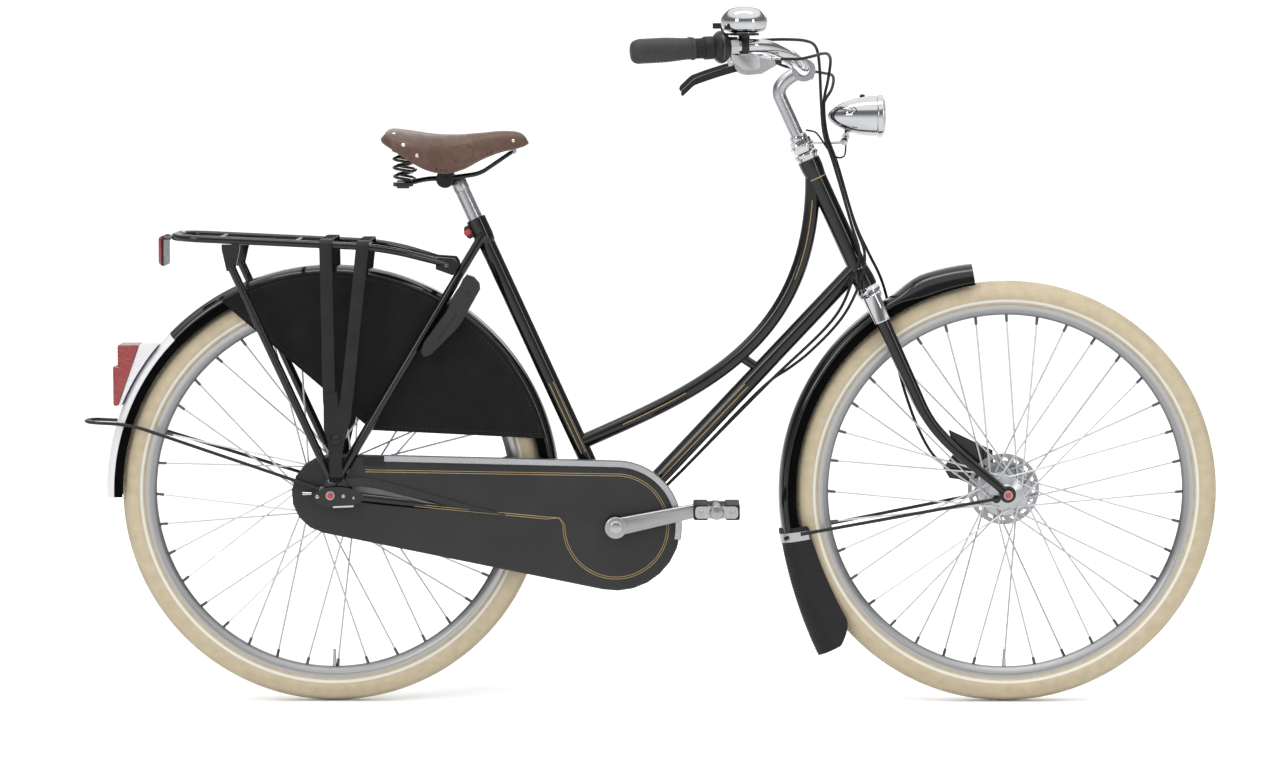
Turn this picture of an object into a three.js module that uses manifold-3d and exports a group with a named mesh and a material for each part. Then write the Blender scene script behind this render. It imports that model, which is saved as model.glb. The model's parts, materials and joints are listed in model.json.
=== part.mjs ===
// Dutch city bicycle in millimetres: +X is forward, +Y is the rider's left, +Z is up.
// The origin is on the ground, in the middle plane, halfway along the whole length.
import * as THREE from 'three';
import { mergeVertices } from 'three/addons/utils/BufferGeometryUtils.js';
import Module from 'manifold-3d';

const wasm = await Module();
wasm.setup();

// Driving dimensions of the whole bicycle
const gap = 0.35;
const overrun = 20;
const ride = {
  wheelBase: 1124.5, bracketClearance: 93.4, bracketDrop: 53.3, forkOffset: 69, headAngle: 65.3,
  seatAngle: 65.3, crownClearance: 4.25, lowerStack: 31,
};
const tyre = { height: 39.2, width: 42, seatGap: 0.4, sides: 32 };
const tyreShares = [[1, 0], [0.83, 0.68], [0.44, 1], [0.13, 0.84], [0, 0.62]];
const rim = { outerRadius: 313.4, depth: 17.4, width: 27, seatDepth: 7, bedWidth: 10 };
const spoke = { count: 36, radius: 1.15, sides: 3, crossAngle: 60, weave: 1.6, startShare: 0.9 };
const axle = { radius: 5, nutRadius: 9, nutLength: 9, sides: 8, endLength: 5, capRadius: 5.5 };
const frontHub = {
  halfWidth: 45, flangeY: 29, flangeRadius: 30, flangeWidth: 3, barrelRadius: 15, endRadius: 12,
  sides: 10, phaseAngle: 0,
};
const rearHub = {
  halfWidth: 55, flangeY: 27, flangeRadius: 44, flangeWidth: 3, barrelRadius: 31, endRadius: 20,
  sides: 10, phaseAngle: 1,
};
const coolingDisc = { radius: 58, thickness: 2, y: 34, slots: 10, slotWidth: 5, slotDepth: 6 };

// Frame tubes
const headTube = { length: 233, radius: 16.5, lugRadius: 18.8, lugLength: 32, boreRadius: 14.2, sides: 10 };
const seatTube = { radius: 14, length: 561, lugRadius: 16.8, lugLength: 46, sides: 10, boreDepth: 240 };
const downTube = { radius: 14.2, sides: 8, headDistance: 36 };
const swanTube = {
  radius: 12.6, sides: 8, steps: 10, headDistance: 16, seatDistance: 147, topPull: 296, seatPull: 212,
  topLeanAngle: 2, seatLeanAngle: 24,
};
const brace = { radius: 8, sides: 8, downShare: 0.6, swanShare: 0.51 };
const bracketShell = { radius: 21, halfWidth: 34, sides: 12 };
const chainStay = { frontRadius: 9, rearRadius: 7, frontY: 24, rearY: 63.5, sides: 8, bridgeReach: 58 };
const seatStay = {
  bridgeRadius: 6, radius: 7.4, topY: 19, bowY: 37.5, bottomY: 63, topDistance: 30, bowDrop: 72, sides: 6,
  steps: 4, searchSteps: 24,
};
const dropout = {
  thickness: 5, clearance: 10.5, radius: 17, reach: 34, rise: 34, tabHeight: 11, backAngle: 135,
  frontAngle: 292, sides: 8,
};
const steerer = { radius: 12.7, boreRadius: 11.35, topAbove: 38, sides: 10 };
const headset = { cupRadius: 20.5, cupLength: 11.8, boreRadius: 13.6, lipRadius: 17.4, sides: 10 };

// Fork, stem and handlebar
const fork = {
  crownClearance: 12, endClearance: 7.5, topDepth: 12, topWidth: 9, bottomDepth: 7, bottomWidth: 5.5,
  bendStart: 196, bendTop: 122, bendLow: 58, bendOut: 45, crownDepth: 17, crownThickness: 16, sides: 8,
  steps: 12, endRadius: 14, endThickness: 6,
};
const crownShroud = { depth: 34, sides: 12, overlap: 7, topThickness: 2, sleeveLength: 30, sleeveWall: 2 };
const stem = {
  radius: 11, height: 124, depth: 2, neckRadius: 12, clampRadius: 17.5, clampWidth: 42, clampBack: 8.8,
  clampRise: 149.1, neckPull: 26, neckBack: 22, sides: 10, clampSides: 10, steps: 5,
};
const bar = {
  radius: 11, boreRadius: 11.9, straightY: 24, endBack: 279, endY: 305, endRise: 31, gripLine: 190,
  yawAngle: 13, pitchAngle: 3, clampPull: 92, bendPull: 58, sides: 8, steps: 8,
};
const grip = {
  length: 98, endRadius: 19.5, innerRadius: 16.8, ringRadius: 18.2, endCap: 6, sides: 10, domeShare: 0.72,
};
const twist = { length: 30, radius: 16.4, ringRadius: 18.5, sides: 10 };
const shifter = { length: 26, radius: 26, waistRadius: 17, flangeShare: 0.35, sides: 10 };
const bracket = {
  from: 156, clampRadius: 15.5, clampWidth: 13, reach: 60, drop: 35, width: 17, nose: 12, topDrop: 12,
  noseDrop: 16, height: 22, sides: 8,
};
const lever = {
  length: 100, depth: 12, thickness: 9, drop: 32, tipDrop: 7, hookShare: 0.8, bowShare: 0.3,
  pivotRadius: 6, pivotReach: 12, pivotDrop: 33, pivotGap: 1.2, steps: 5,
};
const bell = {
  radius: 37.5, height: 47, baseHeight: 5, fromEnd: 180, lift: 5, sides: 12, bracketRadius: 9,
  clampRadius: 14.5, clampWidth: 11, armWidth: 5, armRise: 16, padLength: 20, padHeight: 9, ringWall: 4.5,
  leverAngle: 140, armReach: 43,
};
const bellShares = [[0.5, 0.11], [0.9, 0.22], [1, 0.5], [0.82, 0.82], [0.5, 0.97], [0, 1]];

// Lamp
const lamp = {
  tailReach: 28, rimReach: 64, lensDepth: 5.65, rise: 42, radius: 34.5, rimRadius: 36.5, rimWidth: 9,
  sides: 14, lensRadius: 32, domeShare: 0.7,
};
const lampShares = [[0, 0], [0.06, 0.24], [0.2, 0.52], [0.42, 0.78], [0.68, 0.94], [0.9, 1]];
const lampBracket = {
  lift: 23, thickness: 4, ringRadius: 21, knuckleReach: 68.8, knuckleRise: 9.7, knuckleRadius: 6.5,
  knuckleWidth: 16, armWidth: 16, postRadius: 4, postLean: 8, nutRadius: 18, nutLength: 9, nutSides: 6,
  sides: 10,
};

// Saddle and seat post
const seatPost = { radius: 12.5, visible: 73, inside: 170, sides: 8, topLength: 22 };
const saddle = {
  back: 121.7, front: 119.3, rise: 86.3, halfWidth: 104, depth: 76, shell: 5, sides: 8, sideShare: 0.75,
  crownShare: 0.55,
};
const saddleShares = [
  [0, 0.8, 0.07, 0.21], [0.08, 0.97, 0, 0.45], [0.2, 1, 0.03, 0.71], [0.32, 0.86, 0.08, 0.92],
  [0.44, 0.62, 0.13, 1], [0.56, 0.42, 0.145, 0.91], [0.68, 0.3, 0.12, 0.71], [0.8, 0.235, 0.07, 0.55],
  [0.92, 0.2, 0.05, 0.42], [1, 0.13, 0.16, 0.32],
];
const saddleFrame = {
  railRadius: 3.5, railY: 21, clampBack: 18.7, clampRise: 0.3, clampRadius: 15, clampHalf: 29,
  noseFront: 94.3, noseRise: 46.3, noseY: 7, dipFront: 38.3, dipRise: 8.3, spreadBack: 45.7,
  springBack: 86.7, footDrop: 7.7, bendPull: 14, bendSteps: 2, boltRadius: 5, collarRadius: 15,
  clampSides: 10, sides: 5, seatSides: 8, plateBack: 91.7, plateRise: 68.3, plateLength: 42,
  plateHalf: 84, plateThickness: 4,
};
const spring = {
  wire: 2.4, radius: 18, waist: 2.5, curls: 4.5, curlSteps: 8, sides: 5, y: 52, seatRadius: 21,
};

// Crank set
const crank = {
  length: 170, angle: 12, spindleRadius: 8.5, bossRadius: 15, tipRadius: 10.5, armY: 70, thickness: 12,
  spindleEnd: 79, sides: 12, dustRadius: 10, dustLength: 2.5, tipSteps: 5, bevel: 2,
};
const chainRing = {
  teeth: 38, y: 44.5, thickness: 2.4, holes: 5, holeRadius: 14, holeCircle: 46,
};
const sprocket = { teeth: 19, thickness: 2.4, hubWidth: 8, hubWall: 4.5 };
const chain = {
  pitch: 12.7, halfWidth: 4, slot: 2, plateIn: 4.2, plateOut: 4.6, webThickness: 1.2, frontSteps: 16,
  rearSteps: 9,
};
const tooth = { rise: 2.6, fall: 3.4 };
const toothShares = [[0, 0], [0.5, 1]];
const pedal = {
  spindleRadius: 4.6, spindleLength: 84, halfLength: 38, blockHeight: 26, blockDepth: 24, bodyWidth: 84,
  plateThickness: 2, barrelRadius: 9, startGap: 6, plateHeight: 20, bevel: 3, sides: 6, capLength: 4,
};

// Chain case
const chainCase = {
  frontRadius: 108, rearRadius: 66, innerY: 32, outerY: 58, wall: 1.6, bevel: 3, frontSteps: 14,
  rearSteps: 8, spindleHole: 17, shellHole: 21.6, hubHole: 34, axleHole: 12, slotGap: 2.6, holeSides: 12,
};
const caseTrim = { depth: 9, lift: 1.6, width: 15, thickness: 1.2, reachShare: 0.82, steps: 12 };

// Fenders, guards and stays
const fender = { clearance: 27, sideClearance: 7.5, drop: 14, sheet: 1.7, stepAngle: 9, sectionSteps: 4 };
const rearFender = { frontAngle: 8, splitAngle: 135.6, tailAngle: 181.4, jointAngle: 0.06 };
const frontFender = { frontAngle: 98.8, rearAngle: 193 };
const mudFlap = { startAngle: 193.1, endAngle: 224, flare: 34, sideFlare: 5.5, sideDrop: 38, sheet: 2.6 };
const coatGuard = {
  inset: 11, frontAngle: 14.5, backAngle: 119.5, sheet: 1.2, cornerX: 67, cornerZ: 106, steps: 11,
  boltHole: 9, holeSides: 10,
};
const rearStay = {
  radius: 3, loopClearance: 36, sideClearance: 5.5, bendInset: 44, bendRise: 114, tipRise: 4, endBack: 13,
  endY: 71.4, endRise: 9, bendPull: 30, bendSteps: 3, sides: 5,
};
const frontStay = {
  radius: 3, bandAngle: 191.4, bandHalf: 1.3, sheet: 1.4, inset: 10, endX: 19, endY: 58.9, endZ: 7,
  sides: 6,
};

// Rack, straps, reflector and tail light
const rack = {
  tubeRadius: 6, halfWidth: 83, back: 265.25, rise: 48, midBack: -88.75, midRise: 32, frontRise: 2,
  corner: 55, cornerSteps: 2, sides: 6, crossRadius: 4, crossShares: [0.08, 0.42, 0.78], tabWidth: 10,
  tabDrop: 24, tabThickness: 4,
};
const strut = {
  radius: 7, topBack: 161.25, topDrop: 45, deckGap: 0.5, footBack: -1.75, footRise: 26, topInset: 1,
  footY: 77, plateWidth: 30, plateDrop: 46, plateThickness: 4, sides: 6, bossRadius: 8, bossY: 71,
};
const strap = {
  width: 21, thickness: 3, rearBandBack: 4.25, frontBandBack: -56.75, rivetBack: -5.75, rivetRise: 90,
  footRise: 23, sideOut: 9.5, rivetOut: 6, footOut: 4, cornerDrop: 5, rivetRadius: 7, rivetLength: 3,
  rivetSides: 8,
};
const reflector = {
  width: 92, height: 50, thickness: 9, reach: 20, drop: 24, bevel: 4, armRadius: 3, armY: 30, armSides: 6,
};
const tailLight = {
  inset: 0.5, lightOut: 2.5, topRise: 247, lowRise: 145, stepRise: 211, topReach: 31.5, lowReach: 5,
  depth: 36, lowDepth: 8, stepDepth: 8, steps: 5,
};

// Ring lock
const lock = {
  angle: 56, sink: 12, ringRadius: 58, bodyRadius: 8, boreRadius: 5.4, boltRadius: 4, openAngle: 42,
  overlapAngle: 8, offset: 3.1, housingInner: 9, housingOuter: 11, housingAngle: 62, housingDepth: 26,
  housingSteps: 6, sides: 8, boreSides: 6, steps: 8, knobRadius: 3, knobLength: 16, headRadius: 6,
  headLength: 5, knobAngle: 8, travelAngle: 92, slotHalf: 3.6,
};

// Kickstand
const stand = {
  pivotBack: 70.65, pivotDrop: 23.4, pivotY: 25.5, length: 272, fallShare: 0.06, spreadShare: 0.15,
  radius: 7.5, footRadius: 11, footLength: 46, hubRadius: 11, hubLength: 20, hubSides: 10,
  plateThickness: 6, plateLength: 44, plateHalf: 22, sides: 6,
};

// Brakes: each arm is its angle, length, low Y and thickness
const rearBrake = { radius: 46, y: 36.4, width: 17, armWidth: 22, sides: 12, arms: [[-6, 140, 38, 4]] };
const frontBrake = {
  radius: 40, y: 38.4, width: 6.5, armWidth: 30, sides: 12,
  arms: [[139, 112, 38.6, 4], [161, 94, 38.6, 4]],
};

// Cables: chosen routes, with the rider's right side at negative Y
const cable = { radius: 2.5, sides: 5, frontSteps: 26, longSteps: 42 };
const gearRoute = [
  [127, -246, 1096], [150, -238, 1100], [172, -230, 1105], [200, -215, 1107], [228, -180, 1107],
  [252, -130, 1105], [268, -85, 1099], [276, -50, 1085], [280, -28, 1058], [283, -18, 1004],
  [288, -17, 950], [303, -17, 905], [335, -18, 797], [347, -26, 752], [336, -29, 710], [310, -15, 650],
  [199.5, -3.2, 537.4], [65.1, -3.2, 400], [-19.2, -3.2, 311.4], [-33, -3.2, 279.5], [-58, -3.2, 271.5],
  [-90, -2, 275], [-125, 2.6, 279], [-142, 4.4, 280.4], [-160, 11, 283.4], [-185, 25.2, 295],
  [-220, 34.3, 305.5], [-400, 50.2, 327.7], [-490, 58.2, 338.7],
];
const brakeRoute = [
  [194.1, -254, 1076.8], [218, -246, 1076], [240, -228, 1076], [262, -190, 1080], [280, -140, 1084],
  [292, -90, 1082], [297, -50, 1070], [294, -24, 1040], [288, -12, 1004], [293, -11, 950],
  [309, -11, 905], [341, -12, 797], [356, -22, 752], [350, -31, 712], [322, -22, 650], [265, -9, 586.5],
  [231.5, -1, 559.5], [199.5, 3.2, 537.4], [65.1, 3.2, 400], [-19.2, 3.2, 311.4], [-33, 3.2, 279.5],
  [-58, 3.2, 271.5], [-90, 4.2, 275], [-125, 9, 279], [-142, 11.6, 281.2], [-160, 18.6, 284.4],
  [-185, 32.4, 294.6], [-220, 40.9, 305.9], [-340, 51.3, 321], [-398, 56.4, 328.3],
];
const frontRoute = [
  [194.1, 254, 1076.8], [226, 240, 1062], [262, 190, 1054], [292, 120, 1050], [306, 60, 1044],
  [302, 28, 1024], [288, 14, 998], [293, 12, 950], [309, 12, 905], [343, 12, 797], [364, 16, 752],
  [384, 24, 712], [397, 42, 672], [402, 56, 636], [414, 60, 570], [427, 60, 520], [451, 58, 454],
  [474, 54, 412], [500, 46, 386],
];

// Colours and surface finishes
const finish = (color, roughness, metalness) => new THREE.MeshStandardMaterial({ color, roughness, metalness });
const black = finish('#17181a', 0.28, 0.1);
const caseGrey = finish('#3b3b3c', 0.45, 0.1);
const chrome = finish('#c9ccd0', 0.12, 1);
const alloy = finish('#a9acb0', 0.32, 0.95);
const steel = finish('#8b8f94', 0.4, 0.9);
const cream = finish('#c9bb9a', 0.85, 0);
const rubber = finish('#1d1d1e', 0.8, 0);
const leather = finish('#5f4235', 0.6, 0);
const red = finish('#a43a3c', 0.3, 0);
const white = finish('#eeeef2', 0.35, 0);
const fabric = finish('#222222', 0.75, 0);
const glass = finish('#dfe6ea', 0.1, 0);

// Small geometry helpers
const point = (x, y, z) => new THREE.Vector3(x, y, z);
const flat = (x, y) => new THREE.Vector2(x, y);
const radians = THREE.MathUtils.degToRad;
const yAxis = point(0, 1, 0);
const sides = [-1, 1];
const sideName = (side) => (side < 0 ? 'right' : 'left');
const half = 0.5;
const fullTurn = 2 * Math.PI;
const fullDegrees = 360;

function solid(source) {
  const bare = source.clone();
  bare.deleteAttribute('normal');
  bare.deleteAttribute('uv');
  const welded = mergeVertices(bare);
  const from = welded.index.array;
  const kept = [];
  for (let i = 0; i < from.length; i += 3) {
    const [a, b, c] = [from[i], from[i + 1], from[i + 2]];
    if (a !== b && b !== c && c !== a) kept.push(a, b, c);
  }
  const spots = welded.attributes.position;
  const corner = (index) => point(spots.getX(index), spots.getY(index), spots.getZ(index));
  let volume = 0;
  for (let i = 0; i < kept.length; i += 3) {
    volume += corner(kept[i]).dot(corner(kept[i + 1]).cross(corner(kept[i + 2])));
  }
  if (volume < 0) kept.reverse();
  const result = new THREE.BufferGeometry();
  result.setAttribute('position', spots);
  result.setIndex(kept);
  return result;
}

function toManifold(geometry) {
  const vertProperties = new Float32Array(geometry.attributes.position.array);
  const triVerts = new Uint32Array(geometry.index.array);
  return new wasm.Manifold(new wasm.Mesh({ numProp: 3, vertProperties, triVerts }));
}

function fromManifold(manifold) {
  const mesh = manifold.getMesh();
  const result = new THREE.BufferGeometry();
  result.setAttribute('position', new THREE.BufferAttribute(new Float32Array(mesh.vertProperties), 3));
  result.setIndex([...mesh.triVerts]);
  return result;
}

function joined(first, ...others) {
  return fromManifold(others.reduce((sum, other) => sum.add(toManifold(other)), toManifold(first)));
}

function cut(body, ...tools) {
  return fromManifold(tools.reduce((rest, tool) => rest.subtract(toManifold(tool)), toManifold(body)));
}

function moved(geometry, x, y, z) {
  return geometry.clone().translate(x, y, z);
}

// A closed body through rings of matching corners, with the two end rings capped
function loft(rings, closed = false) {
  const count = rings[0].length;
  const spots = rings.flat().flatMap((spot) => [spot.x, spot.y, spot.z]);
  const index = [];
  for (let ring = 0; ring < rings.length - 1; ring += 1) {
    for (let i = 0; i < count; i += 1) {
      const a = ring * count + i;
      const b = ring * count + ((i + 1) % count);
      index.push(a, b, b + count, a, b + count, a + count);
    }
  }
  const capOf = (ring) => {
    const across = ring[1].clone().sub(ring[0]).normalize();
    let normal = point(0, 0, 0);
    for (let i = 1; i < count - 1; i += 1) {
      normal.add(ring[i].clone().sub(ring[0]).cross(ring[i + 1].clone().sub(ring[0])));
    }
    normal = normal.normalize();
    const upward = normal.clone().cross(across);
    const outline = ring.map((spot) => spot.clone().sub(ring[0]))
      .map((reach) => flat(reach.dot(across), reach.dot(upward)));
    return THREE.ShapeUtils.triangulateShape(outline, []);
  };
  const last = (rings.length - 1) * count;
  if (!closed) {
    capOf(rings[0]).forEach(([a, b, c]) => index.push(c, b, a));
    capOf(rings[rings.length - 1]).forEach(([a, b, c]) => index.push(last + a, last + b, last + c));
  }
  const result = new THREE.BufferGeometry();
  result.setAttribute('position', new THREE.BufferAttribute(new Float32Array(spots), 3));
  result.setIndex(index);
  return solid(result);
}

function polygon(radius, count, startAngle = 0, depthRadius = radius) {
  return Array.from({ length: count }, (_, i) => {
    const angle = startAngle + (fullTurn * i) / count;
    return flat(radius * Math.cos(angle), depthRadius * Math.sin(angle));
  });
}

function tube(curve, radius, count, steps) {
  const shape = new THREE.Shape(polygon(radius, count));
  return solid(new THREE.ExtrudeGeometry(shape, { steps, extrudePath: curve, bevelEnabled: false }));
}

function rod(from, to, radius, count) {
  return tube(new THREE.LineCurve3(from, to), radius, count, 1);
}

// A rod whose section grows or shrinks evenly from one end to the other
function taper(from, to, firstRadius, lastRadius, count, steps = 1) {
  const along = to.clone().sub(from);
  const turn = new THREE.Quaternion().setFromUnitVectors(point(0, 0, 1), along.clone().normalize());
  const rings = [];
  for (let i = 0; i <= steps; i += 1) {
    const share = i / steps;
    const radius = firstRadius + (lastRadius - firstRadius) * share;
    const centre = from.clone().addScaledVector(along, share);
    rings.push(polygon(radius, count)
      .map((spot) => point(spot.x, spot.y, 0).applyQuaternion(turn).add(centre)));
  }
  return loft(rings);
}

// A round bar through a list of places, with its section carried along without twist
function pipe(spots, radius, count) {
  const first = spots[1].clone().sub(spots[0]).normalize();
  let across = Math.abs(first.z) < Math.abs(first.y) ? point(0, 0, 1) : yAxis.clone();
  const rings = spots.map((spot, i) => {
    const before = spots[Math.max(i - 1, 0)];
    const after = spots[Math.min(i + 1, spots.length - 1)];
    const along = after.clone().sub(before).normalize();
    across = across.clone().addScaledVector(along, -across.dot(along)).normalize();
    const other = along.clone().cross(across);
    return polygon(radius, count, Math.PI / count).map((corner) => spot.clone()
      .addScaledVector(across, corner.x).addScaledVector(other, corner.y));
  });
  return loft(rings);
}

// A line with its corners rounded off, starting the given distance before each corner
function bent(corners, pull, steps) {
  const spots = [corners[0]];
  for (let i = 1; i < corners.length - 1; i += 1) {
    const back = corners[i - 1].clone().sub(corners[i]).normalize();
    const onward = corners[i + 1].clone().sub(corners[i]).normalize();
    const from = corners[i].clone().addScaledVector(back, pull);
    const to = corners[i].clone().addScaledVector(onward, pull);
    spots.push(...new THREE.QuadraticBezierCurve3(from, corners[i], to).getPoints(steps));
  }
  spots.push(corners[corners.length - 1]);
  return spots;
}

function smooth(list) {
  return new THREE.CatmullRomCurve3(list.map(([x, y, z]) => point(x, y, z)), false, 'centripetal');
}

// A turned body: its profile is pairs of radius and height along the given direction
function turned(profile, count, origin = point(0, 0, 0), direction = yAxis) {
  const shape = profile.map(([radius, height]) => flat(radius, height));
  const body = solid(new THREE.LatheGeometry(shape, count));
  const turn = new THREE.Quaternion().setFromUnitVectors(yAxis, direction.clone().normalize());
  return body.applyQuaternion(turn).translate(origin.x, origin.y, origin.z);
}

function ringProfile(innerRadius, outerRadius, low, high) {
  return [[innerRadius, low], [outerRadius, low], [outerRadius, high], [innerRadius, high], [innerRadius, low]];
}

function rodProfile(radius, low, high) {
  return [[0, low], [radius, low], [radius, high], [0, high]];
}

// A plate with its outline in X and Z, between two Y values
function plate(outline, lowY, highY, bevel = 0) {
  const shape = new THREE.Shape(outline.map(([x, z]) => flat(x, z)));
  const options = { depth: highY - lowY - 2 * bevel, bevelEnabled: bevel > 0, bevelSize: bevel,
    bevelThickness: bevel, bevelOffset: -bevel, bevelSegments: 1 };
  const body = new THREE.ExtrudeGeometry(shape, options);
  body.rotateX(Math.PI * half);
  body.translate(0, highY - bevel, 0);
  return solid(body);
}

function box(width, depth, height, x, y, z) {
  return moved(solid(new THREE.BoxGeometry(width, depth, height)), x, y, z);
}

function arcPoints(centreX, centreZ, radius, firstAngle, lastAngle, steps) {
  return Array.from({ length: steps + 1 }, (_, i) => {
    const angle = radians(firstAngle + ((lastAngle - firstAngle) * i) / steps);
    return [centreX + radius * Math.cos(angle), centreZ + radius * Math.sin(angle)];
  });
}

// Key places worked out from the driving dimensions
const beadRadius = rim.outerRadius + tyre.seatGap;
const tyreRadius = beadRadius + tyre.height;
const rimInner = rim.outerRadius - rim.depth;
const fenderRadius = tyreRadius + fender.clearance;
const fenderHalf = tyre.width * half + fender.sideClearance;
const loopReach = fenderRadius + rearStay.loopClearance;
const rearX = (loopReach - ride.wheelBase - tyreRadius) * half;
const frontX = rearX + ride.wheelBase;
const axleZ = tyreRadius;
const bracketX = rearX + fenderRadius + ride.bracketClearance;
const bracketZ = axleZ - ride.bracketDrop;
const bracketCentre = point(bracketX, 0, bracketZ);
const seatAlong = point(-Math.cos(radians(ride.seatAngle)), 0, Math.sin(radians(ride.seatAngle)));
const headAlong = point(-Math.cos(radians(ride.headAngle)), 0, Math.sin(radians(ride.headAngle)));
const headForward = point(headAlong.z, 0, -headAlong.x);
const steeringFoot = point(frontX, 0, axleZ).addScaledVector(headForward, -ride.forkOffset);
const crownHeight = Math.sqrt((fenderRadius + ride.crownClearance) ** 2 - ride.forkOffset ** 2);
const crownY = fenderHalf + fork.crownClearance;
const forkEndY = frontHub.halfWidth + fork.endClearance;
const dropoutY = rearHub.halfWidth + dropout.clearance;
const headBottom = crownHeight + ride.lowerStack;
const headTop = headBottom + headTube.length;

function onSteering(along, forward = 0, side = 0) {
  return steeringFoot.clone().addScaledVector(headAlong, along).addScaledVector(headForward, forward)
    .add(point(0, side, 0));
}

function onSeatTube(along, side = 0) {
  return bracketCentre.clone().addScaledVector(seatAlong, along).add(point(0, side, 0));
}

const steeringTop = onSteering(headTop);
const postTop = onSeatTube(seatTube.length + seatPost.visible);
const fromSteering = (back, y, rise) => steeringTop.clone().add(point(-back, y, rise));
const fromPost = (forward, y, rise) => postTop.clone().add(point(forward, y, rise));
const fromRearAxle = (back, y, rise) => point(rearX - back, y, axleZ + rise);
const clampCentre = fromSteering(stem.clampBack, 0, stem.clampRise);

// The handlebar: a bend out of the clamp, then a straight grip line
const gripDirection = (side) => point(-Math.cos(radians(bar.yawAngle)) * Math.cos(radians(bar.pitchAngle)),
  side * Math.sin(radians(bar.yawAngle)) * Math.cos(radians(bar.pitchAngle)),
  -Math.sin(radians(bar.pitchAngle)));
const barEnd = (side) => clampCentre.clone().add(point(-bar.endBack, side * bar.endY, bar.endRise));
const onGrip = (side, fromEnd) => barEnd(side).addScaledVector(gripDirection(side), -fromEnd);

function barBend(side) {
  const start = clampCentre.clone().add(point(0, side * bar.straightY, 0));
  const bendEnd = onGrip(side, bar.gripLine);
  const pull = start.clone().add(point(0, side * bar.clampPull, 0));
  const back = bendEnd.clone().addScaledVector(gripDirection(side), -bar.bendPull);
  return new THREE.CubicBezierCurve3(start, pull, back, bendEnd).getPoints(bar.steps);
}

// The whole bar, with its section kept upright along the bends
function barBody(radius) {
  const spots = [onGrip(-1, gap), ...barBend(-1).reverse(), ...barBend(1), onGrip(1, gap)];
  const rings = spots.map((spot, i) => {
    const before = spots[Math.max(i - 1, 0)];
    const after = spots[Math.min(i + 1, spots.length - 1)];
    const along = after.clone().sub(before).normalize();
    const across = point(0, 0, 1).cross(along).normalize();
    const upward = along.clone().cross(across);
    return polygon(radius, bar.sides, Math.PI / bar.sides).map((corner) => spot.clone()
      .addScaledVector(across, corner.x).addScaledVector(upward, corner.y));
  });
  return loft(rings);
}

// Wheels
function tyreBody() {
  const right = tyreShares.map(([rise, width]) => [beadRadius + tyre.height * rise,
    -tyre.width * half * width]);
  const left = tyreShares.slice(1).reverse()
    .map(([rise, width]) => [beadRadius + tyre.height * rise, tyre.width * half * width]);
  return turned([...right, ...left, right[0]], tyre.sides);
}

function rimBody() {
  const edge = rim.width * half;
  const bed = rim.bedWidth * half;
  const seat = rim.outerRadius - rim.seatDepth;
  const profile = [[rim.outerRadius, -edge], [seat, -edge], [rimInner, -bed], [rimInner, bed],
    [seat, edge], [rim.outerRadius, edge], [rim.outerRadius, -edge]];
  return turned(profile, tyre.sides);
}

// The rim is a ring of flats, so a spoke stops short of the nearest flat
const spokeEnd = rimInner * Math.cos(Math.PI / tyre.sides) - 2 * gap;

function spokedHub(hub, extras) {
  const bore = axle.radius + 2 * gap;
  const { halfWidth, flangeY, flangeRadius, flangeWidth, barrelRadius, endRadius } = hub;
  const outer = flangeY + flangeWidth;
  const profile = [[bore, -halfWidth], [endRadius, -halfWidth], [endRadius, -outer - flangeWidth],
    [barrelRadius, -outer - flangeWidth * half],
    [flangeRadius, -outer], [flangeRadius, -flangeY], [barrelRadius, -flangeY + flangeWidth],
    [barrelRadius, flangeY - flangeWidth], [flangeRadius, flangeY], [flangeRadius, outer],
    [barrelRadius, outer + flangeWidth * half], [endRadius, outer + 2 * flangeWidth],
    [bore, outer + 2 * flangeWidth],
    [bore, -halfWidth]];
  const bodies = [turned(profile, hub.sides)];
  for (let i = 0; i < spoke.count; i += 1) {
    const side = i % 2 === 0 ? -1 : 1;
    const lead = Math.floor(i / 2) % 2 === 0 ? -1 : 1;
    const rimAngle = radians(hub.phaseAngle) + (fullTurn * i) / spoke.count;
    const hubAngle = rimAngle + radians(spoke.crossAngle) * lead;
    const hubY = side * (flangeY + flangeWidth * half + lead * spoke.weave);
    const start = point(flangeRadius * spoke.startShare * Math.cos(hubAngle), hubY,
      flangeRadius * spoke.startShare * Math.sin(hubAngle));
    const end = point(spokeEnd * Math.cos(rimAngle), side * spoke.radius, spokeEnd * Math.sin(rimAngle));
    bodies.push(rod(start, end, spoke.radius, spoke.sides));
  }
  const boreTool = turned(rodProfile(bore, -halfWidth - overrun, halfWidth + overrun), hub.sides);
  return cut(joined(...bodies, ...extras), boreTool);
}

function slottedDisc() {
  const { radius, slots, slotWidth, slotDepth, thickness } = coolingDisc;
  const outline = [];
  const step = fullDegrees / slots;
  const slotAngle = THREE.MathUtils.radToDeg(slotWidth / radius);
  for (let i = 0; i < slots; i += 1) {
    const from = i * step;
    outline.push(...arcPoints(0, 0, radius, from, from + step - slotAngle, 1));
    outline.push(...arcPoints(0, 0, radius - slotDepth, from + step - slotAngle, from + step, 1));
  }
  return plate(outline, coolingDisc.y, coolingDisc.y + thickness);
}

// Chain line
const pitchRadius = (teeth) => chain.pitch / (2 * Math.sin(Math.PI / teeth));

function toothedOutline(teeth) {
  const root = pitchRadius(teeth) - tooth.fall;
  const outline = [];
  for (let i = 0; i < teeth; i += 1) {
    toothShares.forEach(([along, rise]) => {
      const angle = (fullTurn * (i + along)) / teeth;
      const radius = root + (tooth.rise + tooth.fall) * rise;
      outline.push([radius * Math.cos(angle), radius * Math.sin(angle)]);
    });
  }
  return outline;
}

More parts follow.
